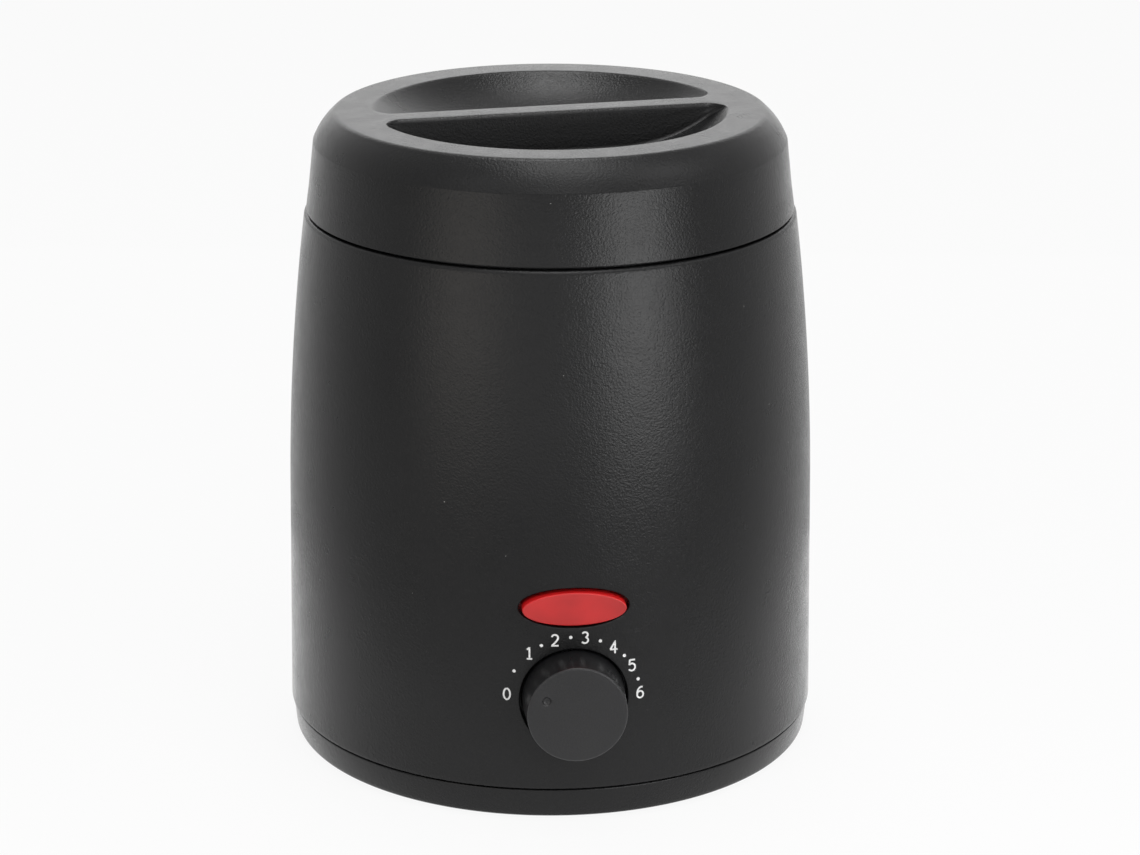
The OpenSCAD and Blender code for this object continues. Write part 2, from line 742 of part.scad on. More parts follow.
module lid_liner() color([0.16, 0.16, 0.16]) rotate(lid_turn) difference() {
    turned([
        [0, z_liner - liner_t, 0], [liner_r - liner_step - liner_wall, z_liner - liner_t, 1],
        [liner_r - liner_step - liner_wall, z_flange + liner_band_h + 0.8, 0.3],
        [liner_r - liner_band_w, z_flange + liner_band_h - 0.6, 0.3],
        [liner_r - liner_band_w, z_flange, 0.3], [liner_r, z_flange, 0.3],
        [liner_r, z_flange + liner_band_h, 0.3], [liner_r - liner_step, z_flange + liner_band_h + 1.4, 0.3],
        [liner_r - liner_step, z_liner, 1], [0, z_liner, 0]]);
    translate([0, 0, z_liner - liner_t]) around(lid_screw_n, lid_boss_r, 90) drill(screw_hole_d, liner_t);
}

module lid_screws() color("silver") rotate(lid_turn) translate([0, 0, z_liner - liner_t])
    around(lid_screw_n, lid_boss_r, 90) screw_up(lid_screw_l);

// ---- Heated well ----

// A pressed cup: a flat floor, a rounded corner, a straight wall and a flat flange
module cup(r, t, z0, z1, edge, bottom_r, flange_r) turned([
    [0, z0, 0], [r, z0, bottom_r], [r, z1 - t, 0.5], [flange_r, z1 - t, 0],
    [flange_r, z1, 0], [r - t, z1, edge], [r - t, z0 + t, bottom_r - t], [0, z0 + t, 0]]);

module heating_well() color([0.72, 0.73, 0.74]) difference() {
    cup(well_or, well_wall, well_z, z_flange, well_edge_r, pot_corner_r + pot_gap + well_wall, well_flange_r);
    translate([0, 0, z_ledge]) around(well_screw_n, well_screw_r, 90) drill(screw_hole_d, flange_t);
    for (x = [bulb_x, fuse_x]) translate([x, 0, well_z]) both_sides(clip_foot)
        drill(clip_screw_d + 2 * thread_gap, clip_bite + 0.1);
}

module well_screws() color("silver") translate([0, 0, z_flange]) around(well_screw_n, well_screw_r, 90)
    screw(well_screw_l);

module well_stud() color("silver") translate([0, 0, well_z]) {
    translate([0, 0, -stud_pad_h]) cylinder(d = stud_pad_d, h = stud_pad_h);
    translate([0, 0, -stud_l]) cylinder(d = stud_d, h = stud_l);
}

module stud_spacer() color([0.75, 0.75, 0.75]) translate([0, 0, z_shield + shield_t])
    tube(stud_pad_d / 2, stud_d / 2 + near, under_gap - stud_pad_h);

module heat_shield() color([0.78, 0.79, 0.8]) translate([0, 0, z_shield]) difference() {
    cylinder(r = shield_r, h = shield_lip);
    translate([0, 0, shield_t]) cylinder(r = shield_r - shield_t, h = shield_lip);
    drill(stud_d + 2 * near, shield_t);
}

module earth_tag() color([0.85, 0.75, 0.45]) translate([0, 0, z_shield - tag_t]) difference() {
    union() {
        cylinder(d = tag_d, h = tag_t);
        translate([-crimp_d / 2, 0, 0]) cube([crimp_d, tag_y, tag_t]);
        translate([0, tag_y, -crimp_l]) cylinder(d = crimp_d, h = crimp_l + tag_t);
    }
    drill(stud_d + 2 * near, tag_t);
}

module stud_nut() color("silver") translate([0, 0, z_shield - tag_t - stud_nut_h])
    nut(stud_nut_d, stud_d + 2 * thread_gap, stud_nut_h);

// ---- Heating band ----

module heater_band() color([0.66, 0.64, 0.58]) difference() {
    translate([0, 0, band_z]) {
        tube(band_r + band_t, band_r, band_h);
        translate([-ear_x - ear_t, band_r + band_t - bury, 0]) cube([2 * (ear_x + ear_t), ear_reach + bury, band_h]);
    }
    translate([-ear_x, 0, band_z - eps]) cube([2 * ear_x, casing_d, band_h + 2 * eps]);
    translate([0, band_screw_y, band_z + band_h / 2]) rotate([0, 90, 0])
        cylinder(d = screw_hole_d, h = 4 * ear_x, center = true);
}

module heater_tabs() color([0.85, 0.75, 0.45]) for (s = [-1, 1]) rotate(90 + s * tab_turn)
    translate([band_r + band_t + near / 2, -blade_w / 2, band_z - blade_l]) cube([blade_t, blade_w, blade_l + tab_on]);

module band_screw() color("silver") translate([ear_x + ear_t, band_screw_y, band_z + band_h / 2])
    rotate([0, 90, 0]) screw(2 * (ear_x + ear_t) + band_nut_h + 1);

module band_nut() color("silver") translate([-ear_x - ear_t - band_nut_h, band_screw_y, band_z + band_h / 2])
    rotate([0, 90, 0]) nut(band_nut_d, screw_d + 2 * thread_gap, band_nut_h);

module insulation_wrap() color([0.93, 0.92, 0.88]) translate([0, 0, band_z - wrap_margin])
    rotate(90 + wrap_open / 2) tube_arc(wrap_r + wrap_t, wrap_r, band_h + 2 * wrap_margin, 360 - wrap_open);

module wrap_strap() color([0.7, 0.7, 0.7]) translate([0, 0, band_z + (band_h - strap_h) / 2]) {
    r = wrap_r + wrap_t + near;
    rotate(90 + (wrap_open + strap_short) / 2) tube_arc(r + strap_t, r, strap_h, 360 - wrap_open - strap_short);
}

// ---- Pot and bail ----

module wax_pot() color([0.8, 0.81, 0.82]) {
    cup(pot_or, pot_wall, z_pot, z_rim, 0.6, pot_corner_r, bead_r);
    rotate_extrude() translate([bead_r, z_flange + bead_d / 2 + bead_rise]) circle(d = bead_d, $fn = 32);
}

module pot_lugs() color([0.74, 0.75, 0.76]) for (s = [0, 180]) rotate(s) difference() {
    union() {
        translate([lug_r, -lug_w / 2, z_rim]) cube([lug_t, lug_w, pivot_h]);
        translate([lug_r - lug_foot_w, -lug_w / 2, z_rim]) cube([lug_foot_w + eps, lug_w, lug_foot_t]);
        translate([lug_r, 0, z_pivot]) rotate([0, 90, 0]) cylinder(d = lug_w, h = lug_t);
    }
    translate([lug_r, 0, z_pivot]) rotate([0, 90, 0]) drill(wire_d + 2 * near, lug_t);
}

// The bail's wire, in the plane of its pivots, lying towards the front
module bail_handle() color([0.82, 0.82, 0.83]) translate([0, 0, z_pivot]) {
    translate([0, -bend_r, 0]) rotate(180) rotate_extrude(angle = 180)
        translate([bail_r, 0]) circle(d = wire_d, $fn = 32);
    for (s = [0, 1]) mirror([s, 0, 0]) {
        translate([bail_r - bend_r, -bend_r, 0]) rotate_extrude(angle = 90)
            translate([bend_r, 0]) circle(d = wire_d, $fn = 32);
        translate([lug_r - pin_end, 0, 0]) rotate([0, 90, 0])
            cylinder(d = wire_d, h = bail_r - bend_r - lug_r + pin_end, $fn = 32);
        translate([lug_r - pin_end - pin_head_t, 0, 0]) rotate([0, 90, 0])
            cylinder(d = 1.5 * wire_d, h = pin_head_t, $fn = 32);
    }
}

module bail_grip() color([0.1, 0.1, 0.1]) translate([0, -bend_r, z_pivot]) rotate(270 - grip_angle / 2)
    rotate_extrude(angle = grip_angle) translate([bail_r, 0]) difference() {
        circle(d = grip_d, $fn = 48);
        circle(d = wire_d + 2 * bearing_gap, $fn = 48);
    }

// ---- Knob ----

module knob() color([0.11, 0.11, 0.11]) facing_front(knob_z) difference() {
    union() {
        turned([
            [knob_back_r - knob_wall, knob_back, 0.3], [knob_back_r, knob_back, 0.3],
            [knob_r, knob_face, knob_edge_r], [0, knob_face, 0], [0, knob_face - knob_cap, 0],
            [knob_r - knob_wall, knob_face - knob_cap, 0.5]]);
        translate([0, 0, y_bracket + bush_l + 0.2])
            cylinder(r = hub_r, h = knob_face - knob_cap / 2 - y_bracket - bush_l - 0.2);
    }
    difference() {
        translate([0, 0, knob_back]) cylinder(d = shaft_d + 2 * bearing_gap, h = shaft_end - knob_back + 0.2);
        translate([-shaft_d, flat_y + bearing_gap, knob_back - 1]) cube([2 * shaft_d, shaft_d, knob_l + 2]);
    }
    rotate(180 - knob_rest) translate([dimple_at, 0, knob_face + sqrt(pow(dimple_r, 2) - pow(dimple_d / 2, 2))])
        sphere(r = dimple_r, $fn = 32);
}

module knob_spring() color("silver") facing_front(knob_z) translate([0, 0, knob_back + 3])
    rotate(30) tube_arc(hub_r + bearing_gap + spring_t, hub_r + bearing_gap, spring_l, 300);

module thermostat_shaft() color("silver") facing_front(knob_z) translate([0, 0, y_housing - shaft_in]) difference() {
    union() {
        cylinder(d = shaft_d, h = shaft_end - y_housing + shaft_in);
        translate([0, 0, 1]) cylinder(d = collar_d, h = collar_h);
    }
    translate([-shaft_d, flat_y, shaft_in + bracket_t + bush_l]) cube([2 * shaft_d, shaft_d, shaft_end]);
}

// ---- Thermostat ----

module thermostat_housing() color([0.85, 0.83, 0.78]) facing_front(knob_z) difference() {
    union() {
        translate([-housing_w / 2, -housing_h / 2, y_housing - housing_l]) cube([housing_w, housing_h, housing_l]);
        translate([0, 0, y_housing - eps]) cylinder(d = bush_d, h = bush_l + bracket_t + eps);
    }
    translate([0, 0, y_housing - shaft_in - 0.4]) cylinder(d = shaft_d + 2 * bearing_gap, h = 3 * bush_l);
    translate([0, 0, y_housing - shaft_in + 0.9]) cylinder(d = collar_d + 0.4, h = collar_h + 0.2);
}

module thermostat_blades() color([0.85, 0.75, 0.45]) facing_front(knob_z)
    translate([0, -blade_drop, y_housing - housing_l - blade_l]) both_sides(blade_x)
        translate([-blade_w / 2, -blade_t / 2, 0]) cube([blade_w, blade_t, blade_l]);

module bush_nut() color("silver") facing_front(knob_z) translate([0, 0, y_bracket])
    nut(bush_nut_d, bush_d + 2 * thread_gap, bush_nut_h);

module thermostat_bracket() color([0.75, 0.76, 0.77]) facing_front(knob_z) translate([0, 0, y_housing])
    linear_extrude(bracket_t) difference() {
        square([2 * (bracket_screw_x + bracket_end), bracket_w], center = true);
        circle(d = bush_d + 2 * near);
        both_sides(bracket_screw_x) circle(d = screw_hole_d);
    }

module bracket_screws() color("silver") facing_front(knob_z) translate([0, 0, y_housing])
    both_sides(bracket_screw_x) screw_up(bracket_screw_l);

module sensing_bulb() color([0.75, 0.45, 0.3]) translate([bulb_x, -bulb_l / 2, z_under(bulb_d)])
    rotate([-90, 0, 0]) cylinder(d = bulb_d, h = bulb_l);

module capillary_tube() color([0.75, 0.45, 0.3]) wire(capillary_route, capillary_d);

// ---- Fuse and clips ----

// A strap that holds a rod of diameter d against the well's underside
module rod_clip(x, d) translate([x, 0, well_z]) difference() {
    translate([0, clip_w / 2, 0]) rotate([90, 0, 0]) linear_extrude(clip_w) difference() {
        union() {
            translate([-d / 2 - near - clip_t, -d - near - clip_t]) square([d + 2 * near + 2 * clip_t, d + near + clip_t]);
            translate([-clip_foot - clip_end, -clip_t]) square([2 * (clip_foot + clip_end), clip_t]);
        }
        translate([-d / 2 - near, -d - near]) square([d + 2 * near, d + 1]);
    }
    translate([0, 0, -clip_t]) both_sides(clip_foot) drill(clip_screw_d + 0.4, clip_t);
}

module bulb_clip() color("silver") rod_clip(bulb_x, bulb_d);
module fuse_clip() color("silver") rod_clip(fuse_x, fuse_d);

module clip_screws() color("silver") for (x = [bulb_x, fuse_x]) translate([x, 0, well_z - clip_t])
    both_sides(clip_foot) screw_up(clip_t + clip_bite, clip_screw_d, 3.6, 1.2);

module thermal_fuse() color([0.8, 0.8, 0.76]) translate([fuse_x, 0, z_under(fuse_d)]) rotate([-90, 0, 0]) {
    cylinder(d = fuse_d, h = fuse_l, center = true);
    cylinder(d = fuse_wire_d, h = fuse_l + 2 * fuse_wire_l, center = true);
}

// ---- Lamp ----

module lamp_lens() color([0.8, 0.1, 0.1]) facing_front(lens_z) translate([0, 0, y_holder]) difference() {
    union() {
        lens_oval(0, y_lens_face - y_holder);
        lens_oval(lens_flange_w, lens_flange_t);
    }
    translate([0, 0, -eps]) lens_oval(-lens_wall, y_lens_face - y_holder - lens_wall);
}

module lamp_holder() color([0.9, 0.9, 0.88]) facing_front(lens_z) translate([0, 0, y_holder - holder_in]) difference() {
    union() {
        lens_oval(lens_flange_w, holder_in);
        translate([0, 0, -holder_back]) lens_oval(lens_flange_w + slip + collar_wall, holder_back);
    }
    difference() {
        lens_oval(0, holder_in + 1);
        translate([-cradle_w / 2, -cradle_t / 2, -1]) cube([cradle_w, cradle_t, 1 + holder_in - neon_sink - near]);
    }
    translate([0, -lamp_hole_drop, -holder_back]) both_sides(lamp_hole_x) drill(lamp_lead_d + 2 * near, holder_back);
}

module neon_lamp() color([0.95, 0.75, 0.6]) facing_front(lens_z) translate([0, 0, y_holder - neon_sink + neon_d / 2])
    rotate([0, 90, 0]) rotate_extrude() polygon([
        [0, -neon_l / 2], [neon_tip / 2, -neon_l / 2], [neon_d / 2, 1 - neon_l / 2],
        [neon_d / 2, neon_l / 2 - 1], [neon_tip / 2, neon_l / 2], [0, neon_l / 2]]);

module lamp_resistor() color([0.75, 0.65, 0.5]) facing_front(lens_z - resistor_drop)
    translate([0, 0, y_holder_back - resistor_d / 2 - near]) rotate([0, 90, 0])
        cylinder(d = resistor_d, h = resistor_l, center = true);

// ---- Supply ----

module at_poles() for (i = [-1 : 1]) translate([i * pole_pitch, block_y, z_floor]) children();

module terminal_block() color([0.92, 0.91, 0.86]) difference() {
    union() {
        translate([-block_w / 2, block_y - block_l / 2, z_floor]) cube([block_w, block_l, block_h]);
        at_poles() translate([-pole_w / 2, -pole_l / 2, 0]) cube([pole_w, pole_l, pole_h]);
    }
    at_poles() {
        translate([0, -pole_l / 2, pole_h / 2]) rotate([-90, 0, 0]) drill(insert_d + near, pole_l);
        for (y = [-clamp_y, clamp_y]) translate([0, y, pole_h / 2]) drill(clamp_d + 0.4, pole_h);
    }
    translate([0, block_y, z_floor]) both_sides(pole_pitch / 2) drill(pilot_d, block_h);
}

module terminal_inserts() color([0.85, 0.75, 0.45]) at_poles() translate([0, 0, pole_h / 2]) difference() {
    rotate([-90, 0, 0]) translate([0, 0, -insert_l / 2]) tube(insert_d / 2, insert_bore / 2, insert_l);
    for (y = [-clamp_y, clamp_y]) translate([0, y, 0]) cylinder(d = clamp_d + 2 * thread_gap, h = insert_d);
}

module terminal_screws() color([0.85, 0.75, 0.45]) at_poles() for (y = [-clamp_y, clamp_y])
    translate([0, y, pole_h / 2 + lead_d / 2 + thread_gap]) difference() {
        cylinder(d = clamp_d, h = pole_h / 2 - lead_d / 2 - clamp_top);
        translate([-clamp_d, -0.3, pole_h / 2 - lead_d / 2 - clamp_top - 0.8]) cube([2 * clamp_d, 0.6, 1]);
    }

module block_screws() color("silver") translate([0, block_y, z_floor + block_h]) both_sides(pole_pitch / 2)
    screw(block_h + base_t - 0.2);

module cord_gland() color([0.1, 0.1, 0.1]) facing_back(gland_z) difference() {
    turned([
        [0, y_gland_pad - gland_nut_h - gland_tail, 0], [gland_neck_d / 2, y_gland_pad - gland_nut_h - gland_tail, 0],
        [gland_neck_d / 2, y_gland, 0], [gland_flange_d / 2, y_gland, 0],
        [gland_flange_d / 2, y_gland + gland_flange_t, gland_edge_r], [gland_nose_d / 2 + 1.5, y_gland + gland_flange_t, 0.5],
        [gland_nose_d / 2, y_gland_end, gland_edge_r], [0, y_gland_end, 0]]);
    cylinder(d = gland_bore, h = y_gland_end + 1);
    turned([
        [0, 0, 0], [gland_inner_d / 2, 0, 0], [gland_inner_d / 2, y_gland_bore - gland_step, 0],
        [gland_bore / 2, y_gland_bore, 0], [0, y_gland_bore, 0]]);
}

module gland_nut() color([0.1, 0.1, 0.1]) facing_back(gland_z) translate([0, 0, y_gland_pad - gland_nut_h])
    nut(gland_nut_d, gland_neck_d + 2 * thread_gap, gland_nut_h);

// A socket that is pushed on a blade whose tip is at z = 0, with its crimped barrel below
module push_on() {
    w = blade_w + 2 * near;
    t = blade_t + 2 * near;
    translate([0, 0, -socket_tip]) difference() {
        translate([-w / 2 - socket_wall, -t / 2 - socket_wall, 0])
            cube([w + 2 * socket_wall, t + 2 * socket_wall, socket_l]);
        translate([-w / 2, -t / 2, socket_tip - near]) cube([w, t, socket_l]);
    }
    translate([0, 0, -crimp_out]) oval(barrel_w, barrel_t, barrel_l + eps);
}

module push_on_terminals() color([0.85, 0.75, 0.45]) {
    facing_front(z_blade) translate([0, 0, y_housing - housing_l - blade_l]) both_sides(blade_x) push_on();
    for (s = [-1, 1]) rotate(s * tab_turn) translate([0, tab_r + near / 2, band_z - blade_l]) push_on();
}

module live_lead() color([0.55, 0.3, 0.15]) wire(live_route, lead_d);
module neutral_lead() color([0.15, 0.3, 0.7]) wire(neutral_route, lead_d);
module fuse_lead() color([0.9, 0.9, 0.88]) wire(fuse_route, lead_d);
module heater_lead() color([0.9, 0.9, 0.88]) wire(heater_route, lead_d);
module earth_lead() color([0.4, 0.65, 0.2]) wire(earth_route, lead_d);
module lamp_leads() color([0.8, 0.15, 0.15]) {
    wire(lamp_neutral_route, lamp_lead_d);
    wire(lamp_feed_route, lamp_lead_d);
    wire(lamp_live_route, lamp_lead_d);
}

casing();
base_cover();
rubber_feet();
base_screws();
lid_shell();
lid_liner();
lid_screws();
heating_well();
well_screws();
well_stud();
stud_spacer();
heat_shield();
stud_nut();
earth_tag();
heater_band();
heater_tabs();
band_screw();
band_nut();
insulation_wrap();
wrap_strap();
wax_pot();
pot_lugs();
bail_handle();
bail_grip();
knob();
knob_spring();
thermostat_shaft();
thermostat_housing();
thermostat_blades();
bush_nut();
thermostat_bracket();
bracket_screws();
sensing_bulb();
capillary_tube();
bulb_clip();
thermal_fuse();
fuse_clip();
clip_screws();
lamp_lens();
lamp_holder();
neon_lamp();
lamp_resistor();
terminal_block();
terminal_inserts();
terminal_screws();
block_screws();
cord_gland();
gland_nut();
push_on_terminals();
live_lead();
neutral_lead();
fuse_lead();
heater_lead();
earth_lead();
lamp_leads();
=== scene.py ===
import bpy
import bmesh
import json
import math
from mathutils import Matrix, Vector
from mathutils.geometry import delaunay_2d_cdt


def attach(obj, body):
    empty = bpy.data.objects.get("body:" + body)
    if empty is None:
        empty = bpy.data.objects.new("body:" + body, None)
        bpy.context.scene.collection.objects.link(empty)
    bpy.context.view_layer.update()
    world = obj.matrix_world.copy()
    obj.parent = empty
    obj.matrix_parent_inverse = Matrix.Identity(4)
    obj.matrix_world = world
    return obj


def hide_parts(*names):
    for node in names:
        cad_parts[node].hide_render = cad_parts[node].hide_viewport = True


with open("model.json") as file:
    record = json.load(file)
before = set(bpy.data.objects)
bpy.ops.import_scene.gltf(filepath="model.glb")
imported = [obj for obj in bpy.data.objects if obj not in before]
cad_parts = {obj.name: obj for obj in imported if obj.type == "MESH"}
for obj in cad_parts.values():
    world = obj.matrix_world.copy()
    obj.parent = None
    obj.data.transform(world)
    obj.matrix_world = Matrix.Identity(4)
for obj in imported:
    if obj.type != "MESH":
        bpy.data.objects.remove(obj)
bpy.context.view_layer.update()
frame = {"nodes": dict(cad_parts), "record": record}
print("frame loaded with", len(frame["nodes"]), "nodes")


# Shapes are measured in millimetres and turned into metres when a mesh is made.
# The lamps, the camera and the depths inside the finishes are in metres.

millimetre = 0.001
mergeWithin = 1e-6  # metres; closer points become one
sliverUnder = 1e-7  # metres; thinner faces are taken away
dialHeight = 29.4  # the axis of the knob
lampHeight = 50.8  # the middle of the lens
glandHeight = 22.5  # the axis of the cord gland


def addPiece(name, points, faces, material, body, stands=(), smoothUnder=32):
    mesh = bpy.data.meshes.new(name)
    mesh.from_pydata([tuple(v * millimetre for v in p) for p in points], [], faces)
    bm = bmesh.new()
    bm.from_mesh(mesh)
    bmesh.ops.remove_doubles(bm, verts=bm.verts, dist=mergeWithin)
    bmesh.ops.dissolve_degenerate(bm, edges=bm.edges, dist=sliverUnder)
    bmesh.ops.recalc_face_normals(bm, faces=bm.faces)
    bm.to_mesh(mesh)
    bm.free()
    mesh.shade_smooth()
    mesh.set_sharp_from_angle(angle=math.radians(smoothUnder))
    mesh.materials.append(material)
    piece = bpy.data.objects.new(name, mesh)
    bpy.context.scene.collection.objects.link(piece)
    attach(piece, body)
    if stands:
        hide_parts(*stands)
    return piece


def join(*parts):  # puts several (points, faces) pairs together
    points, faces = [], []
    for morePoints, moreFaces in parts:
        start = len(points)
        points += list(morePoints)
        faces += [tuple(i + start for i in face) for face in moreFaces]
    return points, faces


def rounded(corners, steps=6):  # corners are (r, z, rounding)
    out = []
    for i, (x, y, r) in enumerate(corners):
        b = Vector((x, y))
        if r <= 0:
            out.append((x, y))
            continue
        a = Vector(corners[i - 1][:2])
        c = Vector(corners[(i + 1) % len(corners)][:2])
        u, v = (a - b).normalized(), (c - b).normalized()
        half = math.acos(max(-1, min(1, u.dot(v)))) / 2
        mid = b + (u + v).normalized() * r / math.sin(half)
        start = b + u * r / math.tan(half) - mid
        end = b + v * r / math.tan(half) - mid
        a0 = math.atan2(start.y, start.x)
        turn = (math.atan2(end.y, end.x) - a0 + 3 * math.pi) % (2 * math.pi) - math.pi
        for k in range(steps + 1):
            angle = a0 + turn * k / steps
            out.append((mid.x + r * math.cos(angle), mid.y + r * math.sin(angle)))
    return out


def lathe(profile, segments=192, closed=True):  # turns (r, z) points round the upright axis
    count = len(profile)
    points, faces = [], []
    for s in range(segments):
        a = 2 * math.pi * s / segments
        points += [(r * math.cos(a), r * math.sin(a), z) for r, z in profile]
    for s in range(segments):
        t = (s + 1) % segments
        for i in range(count if closed else count - 1):
            j = (i + 1) % count
            if profile[i][0] <= 0 and profile[j][0] <= 0:  # both on the axis
                continue
            faces.append((s * count + i, s * count + j, t * count + j, t * count + i))
    return points, faces


def place(part, dx=0, dy=0, turn=0):  # turned about the upright axis, then moved
    c, s = math.cos(math.radians(turn)), math.sin(math.radians(turn))
    return [(x * c - y * s + dx, x * s + y * c + dy, z) for x, y, z in part[0]], part[1]


def facingFront(part, z):  # the part's +Z comes out of the front
    return [(p[0], -p[2], z + p[1]) for p in part[0]], part[1]


def facingBack(part, z):  # the part's +Z comes out of the back
    return [(p[0], p[2], z - p[1]) for p in part[0]], part[1]


def ring(a, b, count, cx=0, cy=0):  # an oval with half widths a and b
    turns = [2 * math.pi * i / count for i in range(count)]
    return [(cx + a * math.cos(turn), cy + b * math.sin(turn)) for turn in turns]


def spread(radius, count, first=0.0):  # places evenly round the upright axis
    turns = [math.radians(first + 360 / count * i) for i in range(count)]
    return [(radius * math.cos(turn), radius * math.sin(turn)) for turn in turns]


def atHeight(loop, z):
    return [(x, y, z) for x, y in loop]


def inside(point, loop):  # whether a flat loop goes round the point
    x, y = point
    hit = False
    for i in range(len(loop)):
        (x0, y0), (x1, y1) = loop[i - 1], loop[i]
        if (y0 > y) != (y1 > y) and x < x0 + (y - y0) * (x1 - x0) / (y1 - y0):
            hit = not hit
    return hit


def fillBetween(outline, holes, extra=()):  # a flat triangle mesh inside the outline, open at the holes
    flat, edges = [], []
    for loop in [outline] + list(holes):
        start = len(flat)
        flat += [Vector(p) for p in loop]
        edges += [(start + i, start + (i + 1) % len(loop)) for i in range(len(loop))]
    flat += [Vector(p) for p in extra]
    verts, _, tris, _, _, _ = delaunay_2d_cdt(flat, edges, [], 0, sliverUnder)
    faces = []
    for tri in tris:
        middle = (sum(verts[i].x for i in tri) / 3, sum(verts[i].y for i in tri) / 3)
        if inside(middle, outline) and not any(inside(middle, hole) for hole in holes):
            faces.append(tuple(tri))
    return [(v.x, v.y) for v in verts], faces


def bridge(ringA, ringB):  # quads between two rings of equally many 3-D points
    count = len(ringA)
    faces = [(i, (i + 1) % count, count + (i + 1) % count, count + i) for i in range(count)]
    return list(ringA) + list(ringB), faces


def tubeAlong(path, radii, sides):  # a round tube with its own radius at each point
    points, faces = [], []
    across = None
    for i, p in enumerate(path):
        p = Vector(p)
        ahead = (Vector(path[min(i + 1, len(path) - 1)]) - Vector(path[max(i - 1, 0)])).normalized()
        if across is None:
            across = ahead.cross(Vector((0, 0, 1) if abs(ahead.z) < 0.9 else (1, 0, 0)))
        across = (across - ahead * across.dot(ahead)).normalized()
        up = ahead.cross(across)
        for k in range(sides):
            a = 2 * math.pi * k / sides
            points.append(tuple(p + radii[i] * (across * math.cos(a) + up * math.sin(a))))
    for i in range(len(path) - 1):
        for k in range(sides):
            m = (k + 1) % sides
            faces.append((i * sides + k, i * sides + m, (i + 1) * sides + m, (i + 1) * sides + k))
    faces.append(tuple(range(sides)))
    faces.append(tuple((len(path) - 1) * sides + k for k in range(sides)))
    return points, faces


# Finishes

class Shader:
    def __init__(self, name):
        self.material = bpy.data.materials.new(name)
        self.material.use_nodes = True
        self.tree = self.material.node_tree
        self.tree.nodes.clear()
        self.out = self.tree.nodes.new("ShaderNodeOutputMaterial")
        self.base = self.tree.nodes.new("ShaderNodeBsdfPrincipled")
        self.tree.links.new(self.base.outputs[0], self.out.inputs[0])
        self.where = self.tree.nodes.new("ShaderNodeTexCoord")

    def node(self, kind, **sockets):
        made = self.tree.nodes.new("ShaderNode" + kind)
        for key, value in sockets.items():
            key = key.replace("_", " ")
            if isinstance(value, bpy.types.NodeSocket):
                self.tree.links.new(value, made.inputs[key])
            else:
                made.inputs[key].default_value = value
        return made

    def stretched(self, z):  # under 1 draws a pattern out upwards
        mapping = self.tree.nodes.new("ShaderNodeMapping")
        self.tree.links.new(self.where.outputs["Object"], mapping.inputs["Vector"])
        mapping.inputs["Scale"].default_value = (1, 1, z)
        return mapping.outputs[0]

    def noise(self, scale, detail=3, roughness=0.55, vector=None):
        made = self.node("TexNoise", Scale=scale, Detail=detail, Roughness=roughness)
        self.tree.links.new(vector or self.where.outputs["Object"], made.inputs["Vector"])
        return made.outputs["Fac"]

    def cells(self, scale):  # 0 at the middle of each cell
        made = self.node("TexVoronoi", Scale=scale, Vector=self.where.outputs["Object"])
        return made.outputs["Distance"]

    def ramp(self, value, low, high, fromMin=0.3, fromMax=0.7):
        made = self.node("MapRange", Value=value)
        made.inputs["From Min"].default_value = fromMin
        made.inputs["From Max"].default_value = fromMax
        made.inputs["To Min"].default_value = low
        made.inputs["To Max"].default_value = high
        return made.outputs[0]

    def math(self, operation, a, b=None):
        made = self.tree.nodes.new("ShaderNodeMath")
        made.operation = operation
        for index, value in enumerate([a, b]):
            if isinstance(value, bpy.types.NodeSocket):
                self.tree.links.new(value, made.inputs[index])
            elif value is not None:
                made.inputs[index].default_value = value
        return made.outputs[0]

    def blend(self, fac, a, b):
        made = self.tree.nodes.new("ShaderNodeMix")
        made.data_type = "RGBA"
        self.tree.links.new(fac, made.inputs[0])
        for index, value in ((6, a), (7, b)):
            if isinstance(value, bpy.types.NodeSocket):
                self.tree.links.new(value, made.inputs[index])
            else:
                made.inputs[index].default_value = (*value, 1)
        return made.outputs[2]

    def bump(self, height, strength, distance, after=None):
        made = self.node("Bump", Strength=strength, Distance=distance, Height=height)
        if after:
            self.tree.links.new(after, made.inputs["Normal"])
        self.tree.links.new(made.outputs[0], self.base.inputs["Normal"])
        return made.outputs[0]

    def set(self, **sockets):
        for key, value in sockets.items():
            key = key.replace("_", " ")
            if isinstance(value, bpy.types.NodeSocket):
                self.tree.links.new(value, self.base.inputs[key])
            else:
                self.base.inputs[key].default_value = value


def shade(color, by):
    return tuple(max(0, min(1, c * by)) for c in color)


plastic = {  # pits in grains, gap and patch in millimetres, the speck's radius in gaps, scales per metre
    "pitSize": 1.6, "cloudScale": 45, "fleckShare": 0.35, "fleckTone": 2.2, "rubScale": 160, "rubDown": 0.03,
    "rubUp": 0.04, "grainBump": 1.0, "pitBump": 0.4, "speckGap": 2.6, "speckRadius": 0.036, "patchSize": 3.1,
    "patchFrom": 0.66, "speckColor": (0.6, 0.59, 0.57),
}


